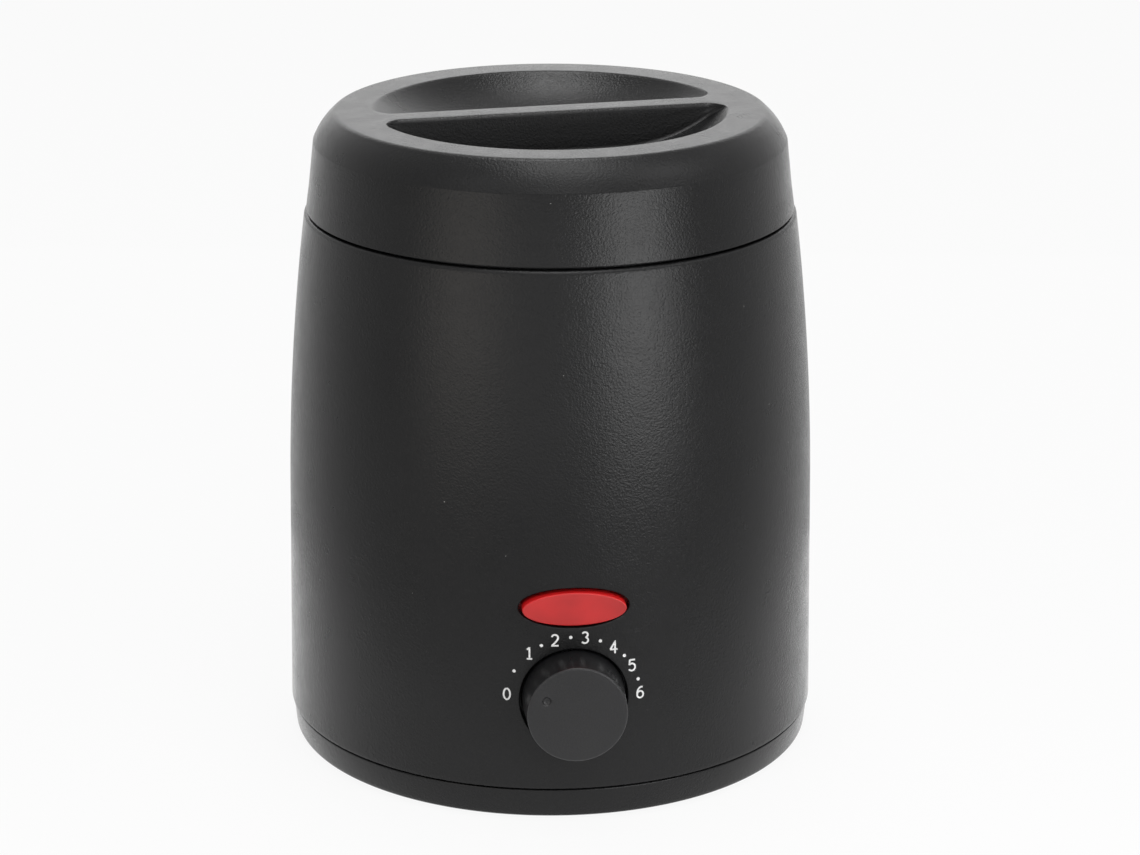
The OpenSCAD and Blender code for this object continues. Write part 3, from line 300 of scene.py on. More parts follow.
def mouldedPlastic(name, color, roughness, grain, depth, dust=0.0, clouding=0.25, specular=0.35):
    s, look = Shader(name), plastic
    fine = s.noise(1000 / grain, 2, 0.6)
    pits = s.cells(1000 / (grain * look["pitSize"]))
    cloud = s.noise(look["cloudScale"], 3)
    tone = s.blend(s.ramp(cloud, 0, 1), shade(color, 1 - clouding), shade(color, 1 + clouding))
    tone = s.blend(s.ramp(fine, 0, look["fleckShare"]), tone, shade(color, look["fleckTone"]))
    if dust:  # pale specks, in some places only
        specks = s.cells(1000 / look["speckGap"])
        near = s.math("LESS_THAN", specks, look["speckRadius"])
        chosen = s.math("GREATER_THAN", s.noise(1000 / look["patchSize"], 1), look["patchFrom"])
        strength = s.math("MULTIPLY", s.math("MULTIPLY", near, chosen), dust)
        tone = s.blend(strength, tone, look["speckColor"])
    rubbed = s.ramp(s.noise(look["rubScale"], 4), roughness - look["rubDown"], roughness + look["rubUp"])
    s.set(Base_Color=tone, Roughness=rubbed)
    s.base.inputs["Specular IOR Level"].default_value = specular
    first = s.bump(fine, look["grainBump"], depth * millimetre)
    s.bump(pits, look["pitBump"], depth * millimetre, first)
    return s.material


metal = {
    "turnedScale": 2600, "turnedDown": 0.08, "turnedUp": 0.1, "markScale": 90, "markDark": 0.9, "markPale": 1.04,
    "grainScale": 1500, "grainDown": 0.07, "grainUp": 0.12, "stainScale": 120, "stainDark": 0.82, "stainPale": 1.08,
    "grainBump": 0.25, "lineDepth": 0.00002,
}


def spunMetal(name, color, roughness, lines):  # fine turned lines round the axis
    s, look = Shader(name), metal
    split = s.tree.nodes.new("ShaderNodeSeparateXYZ")
    s.tree.links.new(s.where.outputs["Object"], split.inputs[0])
    squares = [s.math("POWER", split.outputs[axis], 2) for axis in (0, 1)]
    far = s.math("SQRT", s.math("ADD", *squares))
    both = s.tree.nodes.new("ShaderNodeCombineXYZ")
    s.tree.links.new(far, both.inputs[0])
    s.tree.links.new(split.outputs[2], both.inputs[1])
    turned = s.noise(look["turnedScale"], 2, 0.5, both.outputs[0])
    marks = s.ramp(s.noise(look["markScale"], 4), 0, 1)
    s.set(Base_Color=s.blend(marks, shade(color, look["markDark"]), shade(color, look["markPale"])), Metallic=1.0,
          Roughness=s.ramp(turned, roughness - look["turnedDown"], roughness + look["turnedUp"]))
    s.bump(turned, lines, look["lineDepth"])
    return s.material


def plainMetal(name, color, roughness, grainZ=1):
    s, look = Shader(name), metal
    grain = s.noise(look["grainScale"], 3, 0.5, s.stretched(grainZ))
    stain = s.ramp(s.noise(look["stainScale"], 4), 0, 1)
    s.set(Base_Color=s.blend(stain, shade(color, look["stainDark"]), shade(color, look["stainPale"])), Metallic=1.0,
          Roughness=s.ramp(grain, roughness - look["grainDown"], roughness + look["grainUp"]))
    s.bump(grain, look["grainBump"], look["lineDepth"])
    return s.material


cloth = {
    "clumpScale": 130, "dark": 0.8, "pale": 1.08, "roughness": 0.95, "sheen": 0.25, "fibreBump": 0.9,
    "fibreDepth": 0.0003, "clumpBump": 0.5, "clumpDepth": 0.0008,
}


def woven(name, color, thread=0.5):  # thread in millimetres
    s, look = Shader(name), cloth
    fibres = s.noise(1000 / thread, 6, 0.75)
    clumps = s.noise(look["clumpScale"], 4)
    tone = s.blend(s.ramp(clumps, 0, 1), shade(color, look["dark"]), shade(color, look["pale"]))
    s.set(Base_Color=tone, Roughness=look["roughness"])
    s.base.inputs["Sheen Weight"].default_value = look["sheen"]
    first = s.bump(fibres, look["fibreBump"], look["fibreDepth"])
    s.bump(clumps, look["clumpBump"], look["clumpDepth"], first)
    return s.material


lensLook = {
    # deep is a painted deeper red for the sides, standing in for how light shows at the lens's edges; face goes where
    # the surface faces the front
    "face": (0.33, 0.014, 0.014), "deep": (0.42, 0.006, 0.007), "roughness": 0.4, "specular": 0.3, "softScale": 140,
    "softDark": 0.85, "softPale": 1.15, "faceFrom": 0.75, "faceTo": 0.95, "under": 0.35, "underScale": 0.5,
    "underRadius": (0.004, 0.0006, 0.0005), "rippleScale": 900, "rippleBump": 0.25, "rippleDepth": 0.00003,
}


def redLens(name):  # the sides are painted a deeper red than the face, keyed to which way the surface faces: painted light and shade, not a second colour of the plastic
    s, look = Shader(name), lensLook
    split = s.tree.nodes.new("ShaderNodeSeparateXYZ")
    normal = s.tree.nodes.new("ShaderNodeNewGeometry")
    s.tree.links.new(normal.outputs["True Normal"], split.inputs[0])
    towardsFront = s.math("MULTIPLY", split.outputs[1], -1.0)
    # painted: 1 where the surface faces the front, 0 on the sides, which get the painted deeper red
    paintedFaceShare = s.ramp(towardsFront, 0, 1, look["faceFrom"], look["faceTo"])
    soft = s.noise(look["softScale"], 2, 0.4)
    face = s.blend(s.ramp(soft, 0, 1), shade(look["face"], look["softDark"]), shade(look["face"], look["softPale"]))
    s.set(Base_Color=s.blend(paintedFaceShare, look["deep"], face), Roughness=look["roughness"])
    s.base.inputs["Specular IOR Level"].default_value = look["specular"]
    s.base.inputs["Subsurface Weight"].default_value = look["under"]
    s.base.inputs["Subsurface Radius"].default_value = look["underRadius"]
    s.base.inputs["Subsurface Scale"].default_value = look["underScale"]
    s.bump(s.noise(look["rippleScale"], 3), look["rippleBump"], look["rippleDepth"])
    return s.material


glass = {"color": (0.95, 0.86, 0.78, 1), "streakScale": 300, "smooth": 0.02, "streaked": 0.08, "through": 0.85}


def clearGlass(name):
    s = Shader(name)
    streaks = s.noise(glass["streakScale"], 2)
    s.set(Base_Color=glass["color"], Roughness=s.ramp(streaks, glass["smooth"], glass["streaked"]))
    s.base.inputs["Transmission Weight"].default_value = glass["through"]
    return s.material


inkLook = {"thin": (0.48, 0.48, 0.48), "full": (0.64, 0.64, 0.64), "patchScale": 2200, "roughness": 0.6}


def printedInk(name):
    s = Shader(name)
    patchy = s.ramp(s.noise(inkLook["patchScale"], 3), 0, 1)
    s.set(Base_Color=s.blend(patchy, inkLook["thin"], inkLook["full"]), Roughness=inkLook["roughness"])
    return s.material


finishes = {  # plastics: name, colour, roughness, then the size and depth of the grain in millimetres
    "charcoal": mouldedPlastic("charcoal", (0.005, 0.005, 0.0052), 0.24, 0.4, 0.08,
                               dust=0.5, clouding=0.15, specular=0.17),
    "liner_black": mouldedPlastic("linerBlack", (0.016, 0.016, 0.017), 0.42, 0.6, 0.02),
    "knob_black": mouldedPlastic("knobBlack", (0.007, 0.007, 0.0075), 0.3, 1.6, 0.006,
                                 dust=0.3, clouding=0.2, specular=0.3),
    "feet_rubber": mouldedPlastic("feetRubber", (0.02, 0.02, 0.02), 0.8, 0.5, 0.05),
    "grip_black": mouldedPlastic("gripBlack", (0.012, 0.012, 0.012), 0.35, 0.7, 0.02),
    "ivory_plastic": mouldedPlastic("ivoryPlastic", (0.66, 0.63, 0.54), 0.45, 0.9, 0.02, clouding=0.06),
    "fuse_ceramic": mouldedPlastic("fuseCeramic", (0.6, 0.56, 0.47), 0.65, 0.5, 0.03, clouding=0.1),
    "well_alloy": spunMetal("wellAlloy", (0.60, 0.61, 0.62), 0.34, 0.5),
    "pot_alloy": spunMetal("potAlloy", (0.72, 0.73, 0.74), 0.28, 0.4),
    "steel": plainMetal("brightSteel", (0.56, 0.56, 0.57), 0.26),
    "zinc_steel": plainMetal("zincSteel", (0.52, 0.54, 0.56), 0.4),
    "heater_steel": plainMetal("heaterSteel", (0.42, 0.39, 0.34), 0.45, grainZ=0.1),
    "glass_felt": woven("glassFelt", (0.76, 0.74, 0.68)),
    "brass": plainMetal("brassParts", (0.66, 0.48, 0.2), 0.3),
    "copper": plainMetal("copperParts", (0.64, 0.31, 0.18), 0.3),
    "lamp_glass": clearGlass("lampGlass"),
    "lens_red": redLens("lensRed"),
    "sleeve_brown": mouldedPlastic("sleeveBrown", (0.13, 0.055, 0.025), 0.5, 0.8, 0.02),
    "sleeve_blue": mouldedPlastic("sleeveBlue", (0.015, 0.06, 0.28), 0.5, 0.8, 0.02),
    "sleeve_white": woven("sleeveWhite", (0.7, 0.69, 0.65), 0.3),
    "sleeve_green": mouldedPlastic("sleeveGreen", (0.1, 0.3, 0.04), 0.5, 0.8, 0.02),
    "sleeve_red": mouldedPlastic("sleeveRed", (0.38, 0.02, 0.02), 0.5, 0.8, 0.02),
}
ink = printedInk("dialInk")
knobFace = mouldedPlastic("knobFace", (0.0085, 0.0085, 0.009), 0.4, 0.35, 0.03,
                          dust=0.3, clouding=0.15, specular=0.25)
print("finishes made:", len(finishes) + 2)

for entry in frame["record"]["subparts"]:
    for slotOn in frame["nodes"][entry["node"]].material_slots:
        slotOn.material = finishes[entry["material_slot"]]
print("CAD nodes given their finishes")


# Casing: a barrel wall with a round hole for the knob and an oval one for the lens

casing = {
    "bottomRadius": 61.3, "bottom": 8.35, "height": 116.8, "draft": 0.95, "straight": 52.0, "curveIn": 3.65,
    "wall": 2.5, "topEdge": 1.0, "bottomEdge": 0.3, "ledgeDrop": 4.0, "ledgeThick": 3.0, "ledgeRadius": 42.01,
    "ledgeEdge": 0.3, "holeEdge": 0.4, "segments": 288, "lowRows": [9.4, 10.6], "innerLowRow": 10.0, "rowsAbove": 30,
    "topGap": 1.6, "patchColumns": 15, "patchFrom": 12.0, "patchTo": 60.0, "patchStep": 1.5, "holeClear": 0.55,
    "widthPerDegree": 1.06,
}
knobHole = {"z": dialHeight, "a": 11.84, "b": 11.84, "count": 144}
lensHole = {"z": lampHeight, "a": 12.05, "b": 4.5, "count": 144}


def casingRadius(z):
    c = casing
    up = max(0.0, (z - c["bottom"] - c["straight"]) / (c["height"] - c["straight"]))
    return c["bottomRadius"] - (z - c["bottom"]) * math.tan(math.radians(c["draft"])) - c["curveIn"] * up * up


def onCasing(x, z, depth=0.0):  # the point of the casing's front at x, z
    r = casingRadius(z) - depth
    return (x, -math.sqrt(max(0.0, r * r - x * x)), z)


def holeRing(hole, grow=0.0):
    return ring(hole["a"] + grow, hole["b"] + grow, hole["count"], 0, hole["z"])


def wallPatch(levels, depth, holeRings):  # the front of a wall, filled flat and then rolled round the axis
    step = 360 / casing["segments"]
    span = casing["patchColumns"]
    flatten = casing["widthPerDegree"]
    angles = [i * step for i in range(-span, span + 1)]
    low, high = levels[0], levels[-1]
    outline = [(a * flatten, low) for a in angles]
    outline += [(angles[-1] * flatten, z) for z in levels[1:]]
    outline += [(a * flatten, high) for a in reversed(angles[:-1])]
    outline += [(angles[0] * flatten, z) for z in reversed(levels[1:-1])]
    holes, keepOff = [], []
    for hole, grow in holeRings:
        loop = []
        for x, z in holeRing(hole, grow):
            loop.append((math.degrees(math.asin(x / (casingRadius(z) - depth))) * flatten, z))
        holes.append(loop)
        clear = grow + casing["holeClear"]
        keepOff.append((hole["a"] + clear, hole["b"] + clear, hole["z"]))
    extra = []
    for a in angles[1:-1]:
        for z in levels[1:-1]:
            x = (casingRadius(z) - depth) * math.sin(math.radians(a))
            if all((x / ka) ** 2 + ((z - kz) / kb) ** 2 > 1 for ka, kb, kz in keepOff):
                extra.append((a * flatten, z))
    flat, faces = fillBetween(outline, holes, extra)
    points = []
    for u, z in flat:
        r, a = casingRadius(z) - depth, math.radians(u / flatten)
        points.append((r * math.sin(a), -r * math.cos(a), z))
    return points, faces


def casingMesh():
    c = casing
    wall, bottom, edge = c["wall"], c["bottom"], c["holeEdge"]
    top = bottom + c["height"]
    mouth = casingRadius(top) - wall
    ledge = top - c["ledgeDrop"]
    low = ledge - c["ledgeThick"]
    patchCount = int((c["patchTo"] - c["patchFrom"]) / c["patchStep"])
    patchLevels = [c["patchFrom"] + i * c["patchStep"] for i in range(patchCount + 1)]
    reach = top - c["topGap"] - patchLevels[-1]
    above = [patchLevels[-1] + i * reach / c["rowsAbove"] for i in range(1, c["rowsAbove"] + 1)]
    outer = [(casingRadius(z), z) for z in c["lowRows"] + patchLevels + above]
    topCorner = rounded([(casingRadius(top - 3), top - 3, 0), (casingRadius(top), top, c["topEdge"]),
                         (mouth, top, c["topEdge"]), (mouth, top - 3, 0)])[1:-1]
    innerRows = [low - 0.3] + [z for z in reversed(above) if z < low - 1]
    innerRows += list(reversed(patchLevels)) + [c["innerLowRow"]]
    inner = [(casingRadius(z) - wall, z) for z in innerRows]
    foot = casingRadius(c["patchFrom"])
    bottomCorner = rounded([
        (foot - wall, c["patchFrom"], 0), (c["bottomRadius"] - wall, bottom, c["bottomEdge"]),
        (c["bottomRadius"], bottom, c["bottomEdge"]), (foot, c["patchFrom"], 0)], 3)[1:-1]
    ledgeRows = [(mouth, ledge + 0.2), (mouth - 0.2, ledge), (c["ledgeRadius"] + c["ledgeEdge"], ledge),
                 (c["ledgeRadius"], ledge - c["ledgeEdge"]), (c["ledgeRadius"], low), (casingRadius(low) - wall, low)]
    profile = outer + topCorner + ledgeRows + inner + bottomCorner
    count, segments, span = len(profile), c["segments"], c["patchColumns"]
    points = []
    for s in range(segments):
        a = 2 * math.pi * s / segments
        points += [(r * math.sin(a), -r * math.cos(a), z) for r, z in profile]
    isPatch = []
    for i in range(count):
        ends = sorted((profile[i][1], profile[(i + 1) % count][1]))
        within = ends[0] >= patchLevels[0] - 0.01 and ends[1] <= patchLevels[-1] + 0.01
        isPatch.append(within and ends[1] - ends[0] > 0.5)
    faces = []
    for s in range(segments):
        t = (s + 1) % segments
        front = s < span or s >= segments - span
        for i in range(count):
            if front and isPatch[i]:
                continue
            j = (i + 1) % count
            faces.append((s * count + i, s * count + j, t * count + j, t * count + i))
    parts = [(points, faces)]
    parts.append(wallPatch(patchLevels, 0.0, [(knobHole, edge), (lensHole, edge)]))
    parts.append(wallPatch(patchLevels, wall, [(knobHole, 0.0), (lensHole, 0.0)]))
    for hole in (knobHole, lensHole):  # a rounded edge, then straight in through the wall
        rings = []
        for k in range(7):
            turn = math.radians(15 * k)
            grow, sink = edge * (1 - math.sin(turn)), edge * (1 - math.cos(turn))
            outside = [onCasing(x, z) for x, z in holeRing(hole, grow)]
            rings.append([(x, y + sink, z) for x, y, z in outside])
        rings.append([onCasing(x, z, wall) for x, z in holeRing(hole)])
        parts += [bridge(rings[k], rings[k + 1]) for k in range(len(rings) - 1)]
    return parts


fittings = {  # inside the casing: screw bosses, collars, and the pads behind the dial and the cord gland
    "pilot": 1.55, "boss": 3.5, "collarStart": 1.2,
    "pocketCollar": (14.24, 11.86), "pocket": (7.3, 13.0), "pocketBack": 52.85, "pocketFloor": 54.85,
    "pocketEdge": 0.2, "lampCollar": ((15.25, 7.7), (13.45, 5.9)), "lampCollarBack": 52.5,
    "bracketAcross": 17.6, "bracketFrom": 52.85, "bracketTo": 57.2,
    "pillarRadius": 50.3, "pillarTop": 24.0, "pillarTip": 24.35, "pillarPilotTop": 22.4,
    "ledgeBossRadius": 48.0, "ledgeBossTip": 110.2, "ledgePilotFrom": 112.0, "ledgeBossTop": 118.4,
    "glandPad": (6.1, 10.5), "glandPadFrom": 56.6, "glandPadTo": 58.0,
}


def frontTube(z, outer, inner, back, count=96):  # a collar that grows inwards from the casing's wall
    loops = []
    for (a, b), deep in ((outer, False), (outer, True), (inner, True), (inner, False)):
        oval = ring(a, b, count, 0, z)
        loops.append([(x, back if deep else onCasing(x, zz, fittings["collarStart"])[1], zz) for x, zz in oval])
    return join(*[bridge(loops[k], loops[(k + 1) % 4]) for k in range(4)])


def insideParts():
    f = fittings
    pilot, boss = f["pilot"], f["boss"]
    collarOut, collarIn = f["pocketCollar"]
    parts = [frontTube(dialHeight, (collarOut, collarOut), (collarIn, collarIn), -f["pocketBack"])]
    pocketIn, pocketOut = f["pocket"]
    pocket = rounded([(pocketIn, f["pocketBack"], f["pocketEdge"]), (pocketOut, f["pocketBack"], 0),
                      (pocketOut, f["pocketFloor"], 0), (pocketIn, f["pocketFloor"], f["pocketEdge"])])
    parts.append(facingFront(lathe(pocket, 96), dialHeight))
    parts.append(frontTube(lampHeight, *f["lampCollar"], -f["lampCollarBack"]))
    for x in (-f["bracketAcross"], f["bracketAcross"]):  # bosses for the bracket's screws
        stud = lathe([(pilot, f["bracketFrom"]), (boss, f["bracketFrom"]),
                      (boss, f["bracketTo"]), (pilot, f["bracketTo"])], 32)
        parts.append(place(facingFront(stud, dialHeight), dx=x))
    for x, y in spread(f["pillarRadius"], 4, 45):  # pillars for the base's screws
        pillar = lathe([(pilot, casing["bottom"]), (boss, casing["bottom"]), (boss, f["pillarTop"]),
                        (0, f["pillarTip"]), (0, f["pillarPilotTop"]), (pilot, f["pillarPilotTop"])], 32)
        parts.append(place(pillar, dx=x, dy=y))
    for x, y in spread(f["ledgeBossRadius"], 3, 90):  # bosses under the ledge
        stud = lathe([(pilot, f["ledgePilotFrom"]), (pilot, f["ledgeBossTop"]), (boss, f["ledgeBossTop"]),
                      (boss, f["ledgeBossTip"]), (0, f["ledgeBossTip"]), (0, f["ledgePilotFrom"])], 32)
        parts.append(place(stud, dx=x, dy=y))
    padIn, padOut = f["glandPad"]
    pad = [(padIn, f["glandPadFrom"]), (padOut, f["glandPadFrom"]),
           (padOut, f["glandPadTo"]), (padIn, f["glandPadTo"])]
    parts.append(facingBack(lathe(pad, 64), glandHeight))
    return parts


points, faces = join(*(casingMesh() + insideParts()))
casingPiece = addPiece("casing_shell", points, faces, finishes["charcoal"], "housing", ["casing"], 28)
print("casing built")


# Base: a ring that stands back from the casing, with a plate, vents and feet

base = {
    "plate": 1.6, "floor": 4.0, "bottom": 1.0, "top": 7.9, "radius": 60.9, "lean": 0.7, "edge": 1.5, "lip": 3.0,
    "spigotOut": 58.5, "spigotIn": 56.9, "spigotTop": 11.55, "floorRadius": 55.0, "segments": 288,
    "ventCount": 20, "ventRadius": 29.0, "ventLength": 14.0, "ventWidth": 3.0, "ventFree": 48.0,
    "screwRadius": 50.3, "screwHead": 3.1, "screwSeat": 6.75, "screwHole": 1.7, "bossRadius": 4.5, "bossTop": 8.35,
    "pinAcross": 7, "pinBack": 22.0, "pinHole": 1.55, "footRadius": 50.3, "footHole": 5.1, "footSink": 1.2,
}


def slot2d(length, width, at, turn, steps=8):  # a long hole with round ends, pointing away from the middle
    half = (length - width) / 2
    loop = []
    for side in (1, -1):
        for k in range(steps + 1):
            a = math.radians(-90 + 180 * k / steps)
            loop.append((side * (half + width / 2 * math.cos(a)) + at, side * width / 2 * math.sin(a)))
    c, s = math.cos(math.radians(turn)), math.sin(math.radians(turn))
    return [(x * c - y * s, x * s + y * c) for x, y in loop]


def baseMesh():
    b = base
    plate, floor, segments = b["plate"], b["floor"], b["segments"]
    inner = b["radius"] - b["lean"] - b["lip"]
    ringProfile = rounded([
        (inner, plate, 0), (inner, b["bottom"], 0.25), (b["radius"] - b["lean"], b["bottom"], b["edge"]),
        (b["radius"], b["top"], 0.35), (b["spigotOut"], b["top"], 0), (b["spigotOut"], b["spigotTop"], 0.4),
        (b["spigotIn"], b["spigotTop"], 0.4), (b["spigotIn"], floor, 0.8), (b["floorRadius"], floor, 0)])
    parts = [lathe(ringProfile, segments, closed=False)]
    vents = []
    for i in range(b["ventCount"]):  # none under the terminal block
        a = (i + 0.5) * 360 / b["ventCount"]
        if abs(a - 90) > b["ventFree"]:
            vents.append(slot2d(b["ventLength"], b["ventWidth"], b["ventRadius"], a))
    corners = spread(b["screwRadius"], 4, 45)
    screws = [ring(b["screwHead"], b["screwHead"], 32, x, y) for x, y in corners]
    pins = [ring(b["pinHole"], b["pinHole"], 20, x, b["pinBack"]) for x in (-b["pinAcross"], b["pinAcross"])]
    feet = [ring(b["footHole"], b["footHole"], 48, x, y) for x, y in spread(b["footRadius"], 4)]
    lower, lowerFaces = fillBetween(ring(inner, inner, segments), vents + screws + pins + feet)
    upper, upperFaces = fillBetween(ring(b["floorRadius"], b["floorRadius"], segments), vents + screws + pins)
    parts += [(atHeight(lower, plate), lowerFaces), (atHeight(upper, floor), upperFaces)]
    for loop in vents + pins:
        parts.append(bridge(atHeight(loop, plate), atHeight(loop, floor)))
    for loop in feet:
        pit = atHeight(loop, plate + b["footSink"])
        parts += [bridge(atHeight(loop, plate), pit), (pit, [tuple(range(len(loop)))])]
    for x, y in corners:
        boss = lathe([
            (b["screwHead"], plate), (b["screwHead"], b["screwSeat"]), (b["screwHole"], b["screwSeat"]),
            (b["screwHole"], b["bossTop"]), (b["bossRadius"], b["bossTop"]), (b["bossRadius"], floor),
            (b["screwHead"], floor)], 32, closed=False)
        parts.append(place(boss, dx=x, dy=y))
    return join(*parts)


points, faces = baseMesh()
basePiece = addPiece("base_shell", points, faces, finishes["charcoal"], "housing", ["base_cover"], 30)

foot = {"bottomRadius": 4.9, "topRadius": 5.0, "height": 2.8, "edge": 0.55}
footProfile = rounded([(0, 0, 0), (foot["bottomRadius"], 0, foot["edge"]),
                       (foot["topRadius"], foot["height"], 0), (0, foot["height"], 0)])
points, faces = join(*[place(lathe(footProfile, 64), dx=x, dy=y) for x, y in spread(base["footRadius"], 4)])
feetPiece = addPiece("feet", points, faces, finishes["feet_rubber"], "housing", ["rubber_feet"])
print("base and feet built")


# Lid: a turned rim round two finger wells with a grip bar between them

lid = {
    "turn": 8.9, "bottom": 125.58, "top": 147.75, "radius": 55.31, "shoulderRadius": 53.41, "shoulderHeight": 6.5,
    "shoulderEdge": 1.1, "shoulderSwell": (51.7, 3.5, 14.0), "skirtSwell": (54.55, 5.5, 30.0), "skirtEdge": 0.35,
    "ringRadius": 48.51, "ringEdge": 1.9, "flatRadius": 44.0, "wellRadius": 40.0, "wellDepth": 8.8,
    "floorRadius": 15.5, "barHalf": 3.9, "barEdge": 1.2, "barLean": 12, "barFoot": 0.9, "cornerRound": 4.2,
    "rimEdge": 0.35, "rimRows": (0.0, 0.12, 0.25, 0.4, 0.7), "wall": 2.0, "innerEdge": 0.6, "underGap": 0.35,
    "underRadius": 43.2, "underRows": (40.5, 38, 35, 31, 27, 23, 19, 15.5, 8, 0.0), "bowlSteps": 26, "segments": 360,
}


def bowlHeight(r):  # the round floor of the finger wells
    rise = lid["wellRadius"] - lid["floorRadius"]
    arc = (rise ** 2 + lid["wellDepth"] ** 2) / (2 * lid["wellDepth"])
    out = max(0.0, r - lid["floorRadius"])
    if out < arc * 0.8:
        h = arc - math.sqrt(arc * arc - out * out)
    else:  # straight on past the rim, with the slope that the arc has there
        h = arc * 0.4 + (out - arc * 0.8) * 4 / 3
    return lid["top"] - lid["wellDepth"] + h


def rimHeight(r):  # the flat rim and the bowl, blended over a narrow edge
    a, b, k = lid["top"], bowlHeight(r), lid["rimEdge"]
    h = max(k - abs(a - b), 0.0) / k
    return min(a, b) - h * h * k * 0.25


def lidRows():  # the lid's outline from the wells' rim over the shoulder and back underneath
    d = lid
    topZ, crease, wall = d["top"], d["top"] - d["shoulderHeight"], d["wall"]
    rows = [(d["wellRadius"] + o, rimHeight(d["wellRadius"] + o)) for o in d["rimRows"]] + [(d["flatRadius"], topZ)]
    shoulderAt, shoulderUp, shoulderRound = d["shoulderSwell"]
    skirtAt, skirtUp, skirtRound = d["skirtSwell"]
    rows += rounded([
        (d["flatRadius"], topZ, 0), (d["ringRadius"], topZ, d["ringEdge"]),
        (shoulderAt, crease + shoulderUp, shoulderRound), (d["shoulderRadius"], crease, d["shoulderEdge"]),
        (skirtAt, d["bottom"] + skirtUp, skirtRound), (d["radius"], d["bottom"], d["skirtEdge"]),
        (d["radius"] - wall, d["bottom"], 0.4), (d["shoulderRadius"] - wall, crease - 0.4, d["innerEdge"]),
        (d["ringRadius"] - 1, topZ - wall, d["innerEdge"]), (d["underRadius"], topZ - wall, 0)], 8)[1:]
    return rows + [(r, bowlHeight(r) - wall - d["underGap"]) for r in d["underRows"]]


def barSide(x, half, rimY):  # how far out the bar's side stands at its foot, and its depth and top edge there
    lean = math.tan(math.radians(lid["barLean"]))
    low = half
    for i in range(3):  # the depth depends on the foot, so it settles in a few rounds
        deep = max(0.0, lid["top"] - bowlHeight(math.hypot(x, low)))
        edge = min(lid["barEdge"], 0.45 * deep)
        low = min(half + lean * max(0.0, deep - edge), 0.5 * (half + rimY))
    return low, deep, edge


def wellColumn(x, half, rimY):  # (y, z) points from the rim down through the well and up the bar's side
    topZ = lid["top"]
    low, deep, edge = barSide(x, half, rimY)
    heel = min(lid["barFoot"], 0.45 * deep, 0.8 * (rimY - low))
    quarter = [math.radians(15 * k) for k in range(1, 7)]
    column = []
    for k in range(lid["bowlSteps"] + 1):
        t = k / lid["bowlSteps"]
        t = t * t * (3 - 2 * t) * 0.6 + t * 0.4  # closer rows near both ends
        y = rimY + (low + heel - rimY) * t
        column.append((y, rimHeight(math.hypot(x, y))))
    heelZ = column[-1][1]
    column += [(low + heel * (1 - math.sin(q)), heelZ + heel * (1 - math.cos(q))) for q in quarter]
    wallTop, wallFoot = topZ - edge, column[-1][1]
    column += [(low + (half - low) * k / 3, wallFoot + (wallTop - wallFoot) * k / 3) for k in range(1, 4)]
    column += [(half - edge * (1 - math.cos(q)), wallTop + edge * math.sin(q)) for q in quarter]
    return column + [(half * 0.35, topZ)]


def lidMesh():
    d = lid
    segments, r0, topZ, corner = d["segments"], d["wellRadius"], d["top"], d["cornerRound"]
    step = 2 * math.pi / segments
    cornerStart = math.sqrt((r0 - corner) ** 2 - (d["barHalf"] + corner) ** 2)
    solidTo = (d["barHalf"] + corner) / (r0 - corner)  # nearer the bar's ends there is no well
    rows, rimCount = lidRows(), len(d["rimRows"])
    count = len(rows)
    points, faces = [], []
    for s in range(segments):
        a = step * s
        closed = abs(math.sin(a)) < solidTo
        points += [(r * math.cos(a), r * math.sin(a), topZ if closed and k < rimCount else z)
                   for k, (r, z) in enumerate(rows)]
    for s in range(segments):
        t = (s + 1) % segments
        faces += [(s * count + i, t * count + i, t * count + i + 1, s * count + i + 1) for i in range(count - 1)]
    parts = [(points, faces)]
    # columns run from the front rim over the bar to the rear rim
    first = math.ceil(math.degrees(math.asin(d["barHalf"] / r0)) / (360 / segments))
    columns = []
    for i in range(first, segments // 2 - first + 1):
        a = step * i
        x, rimY = r0 * math.cos(a), r0 * math.sin(a)
        over = abs(x) - cornerStart
        half = d["barHalf"]
        if over > 0:  # the well's corner, rounded in plan
            half += corner - math.sqrt(max(0.0, corner ** 2 - over ** 2))
        column = wellColumn(x, min(half, rimY - 0.05), rimY)
        if math.sin(a) < solidTo:
            column = [(y, topZ) for y, z in column]
        columns.append([(x, -y, z) for y, z in column] + [(x, y, z) for y, z in reversed(column)])
    count = len(columns[0])
    points = [p for column in columns for p in column]
    faces = [(i * count + k, i * count + k + 1, (i + 1) * count + k + 1, (i + 1) * count + k)
             for i in range(len(columns) - 1) for k in range(count - 1)]
    parts.append((points, faces))
    # flat ends where the bar runs into the rim
    for side, column in ((1, columns[0]), (-1, columns[-1])):
        arc = [(side * r0 * math.cos(step * s), r0 * math.sin(step * s), topZ) for s in range(-first, first + 1)]
        loop = arc + list(reversed(column[1:-1]))
        parts.append((loop, [tuple(range(len(loop)))]))
    return join(*parts)


points, faces = place(lidMesh(), turn=lid["turn"])
lidPiece = addPiece("lid_top", points, faces, finishes["charcoal"], "lid", ["lid_shell"], 35)

liner = {
    "inner": 49.71, "outer": 51.31, "roof": 134.75, "top": 136.25, "roofEdge": 1.0, "edge": 0.4,
    "lipInner": 51.01, "lipOuter": 52.81, "lipBottom": 122.65, "lipEdge": 0.3, "slopeInner": (125.75, 124.35),
    "slopeOuter": (124.95, 126.35),
}


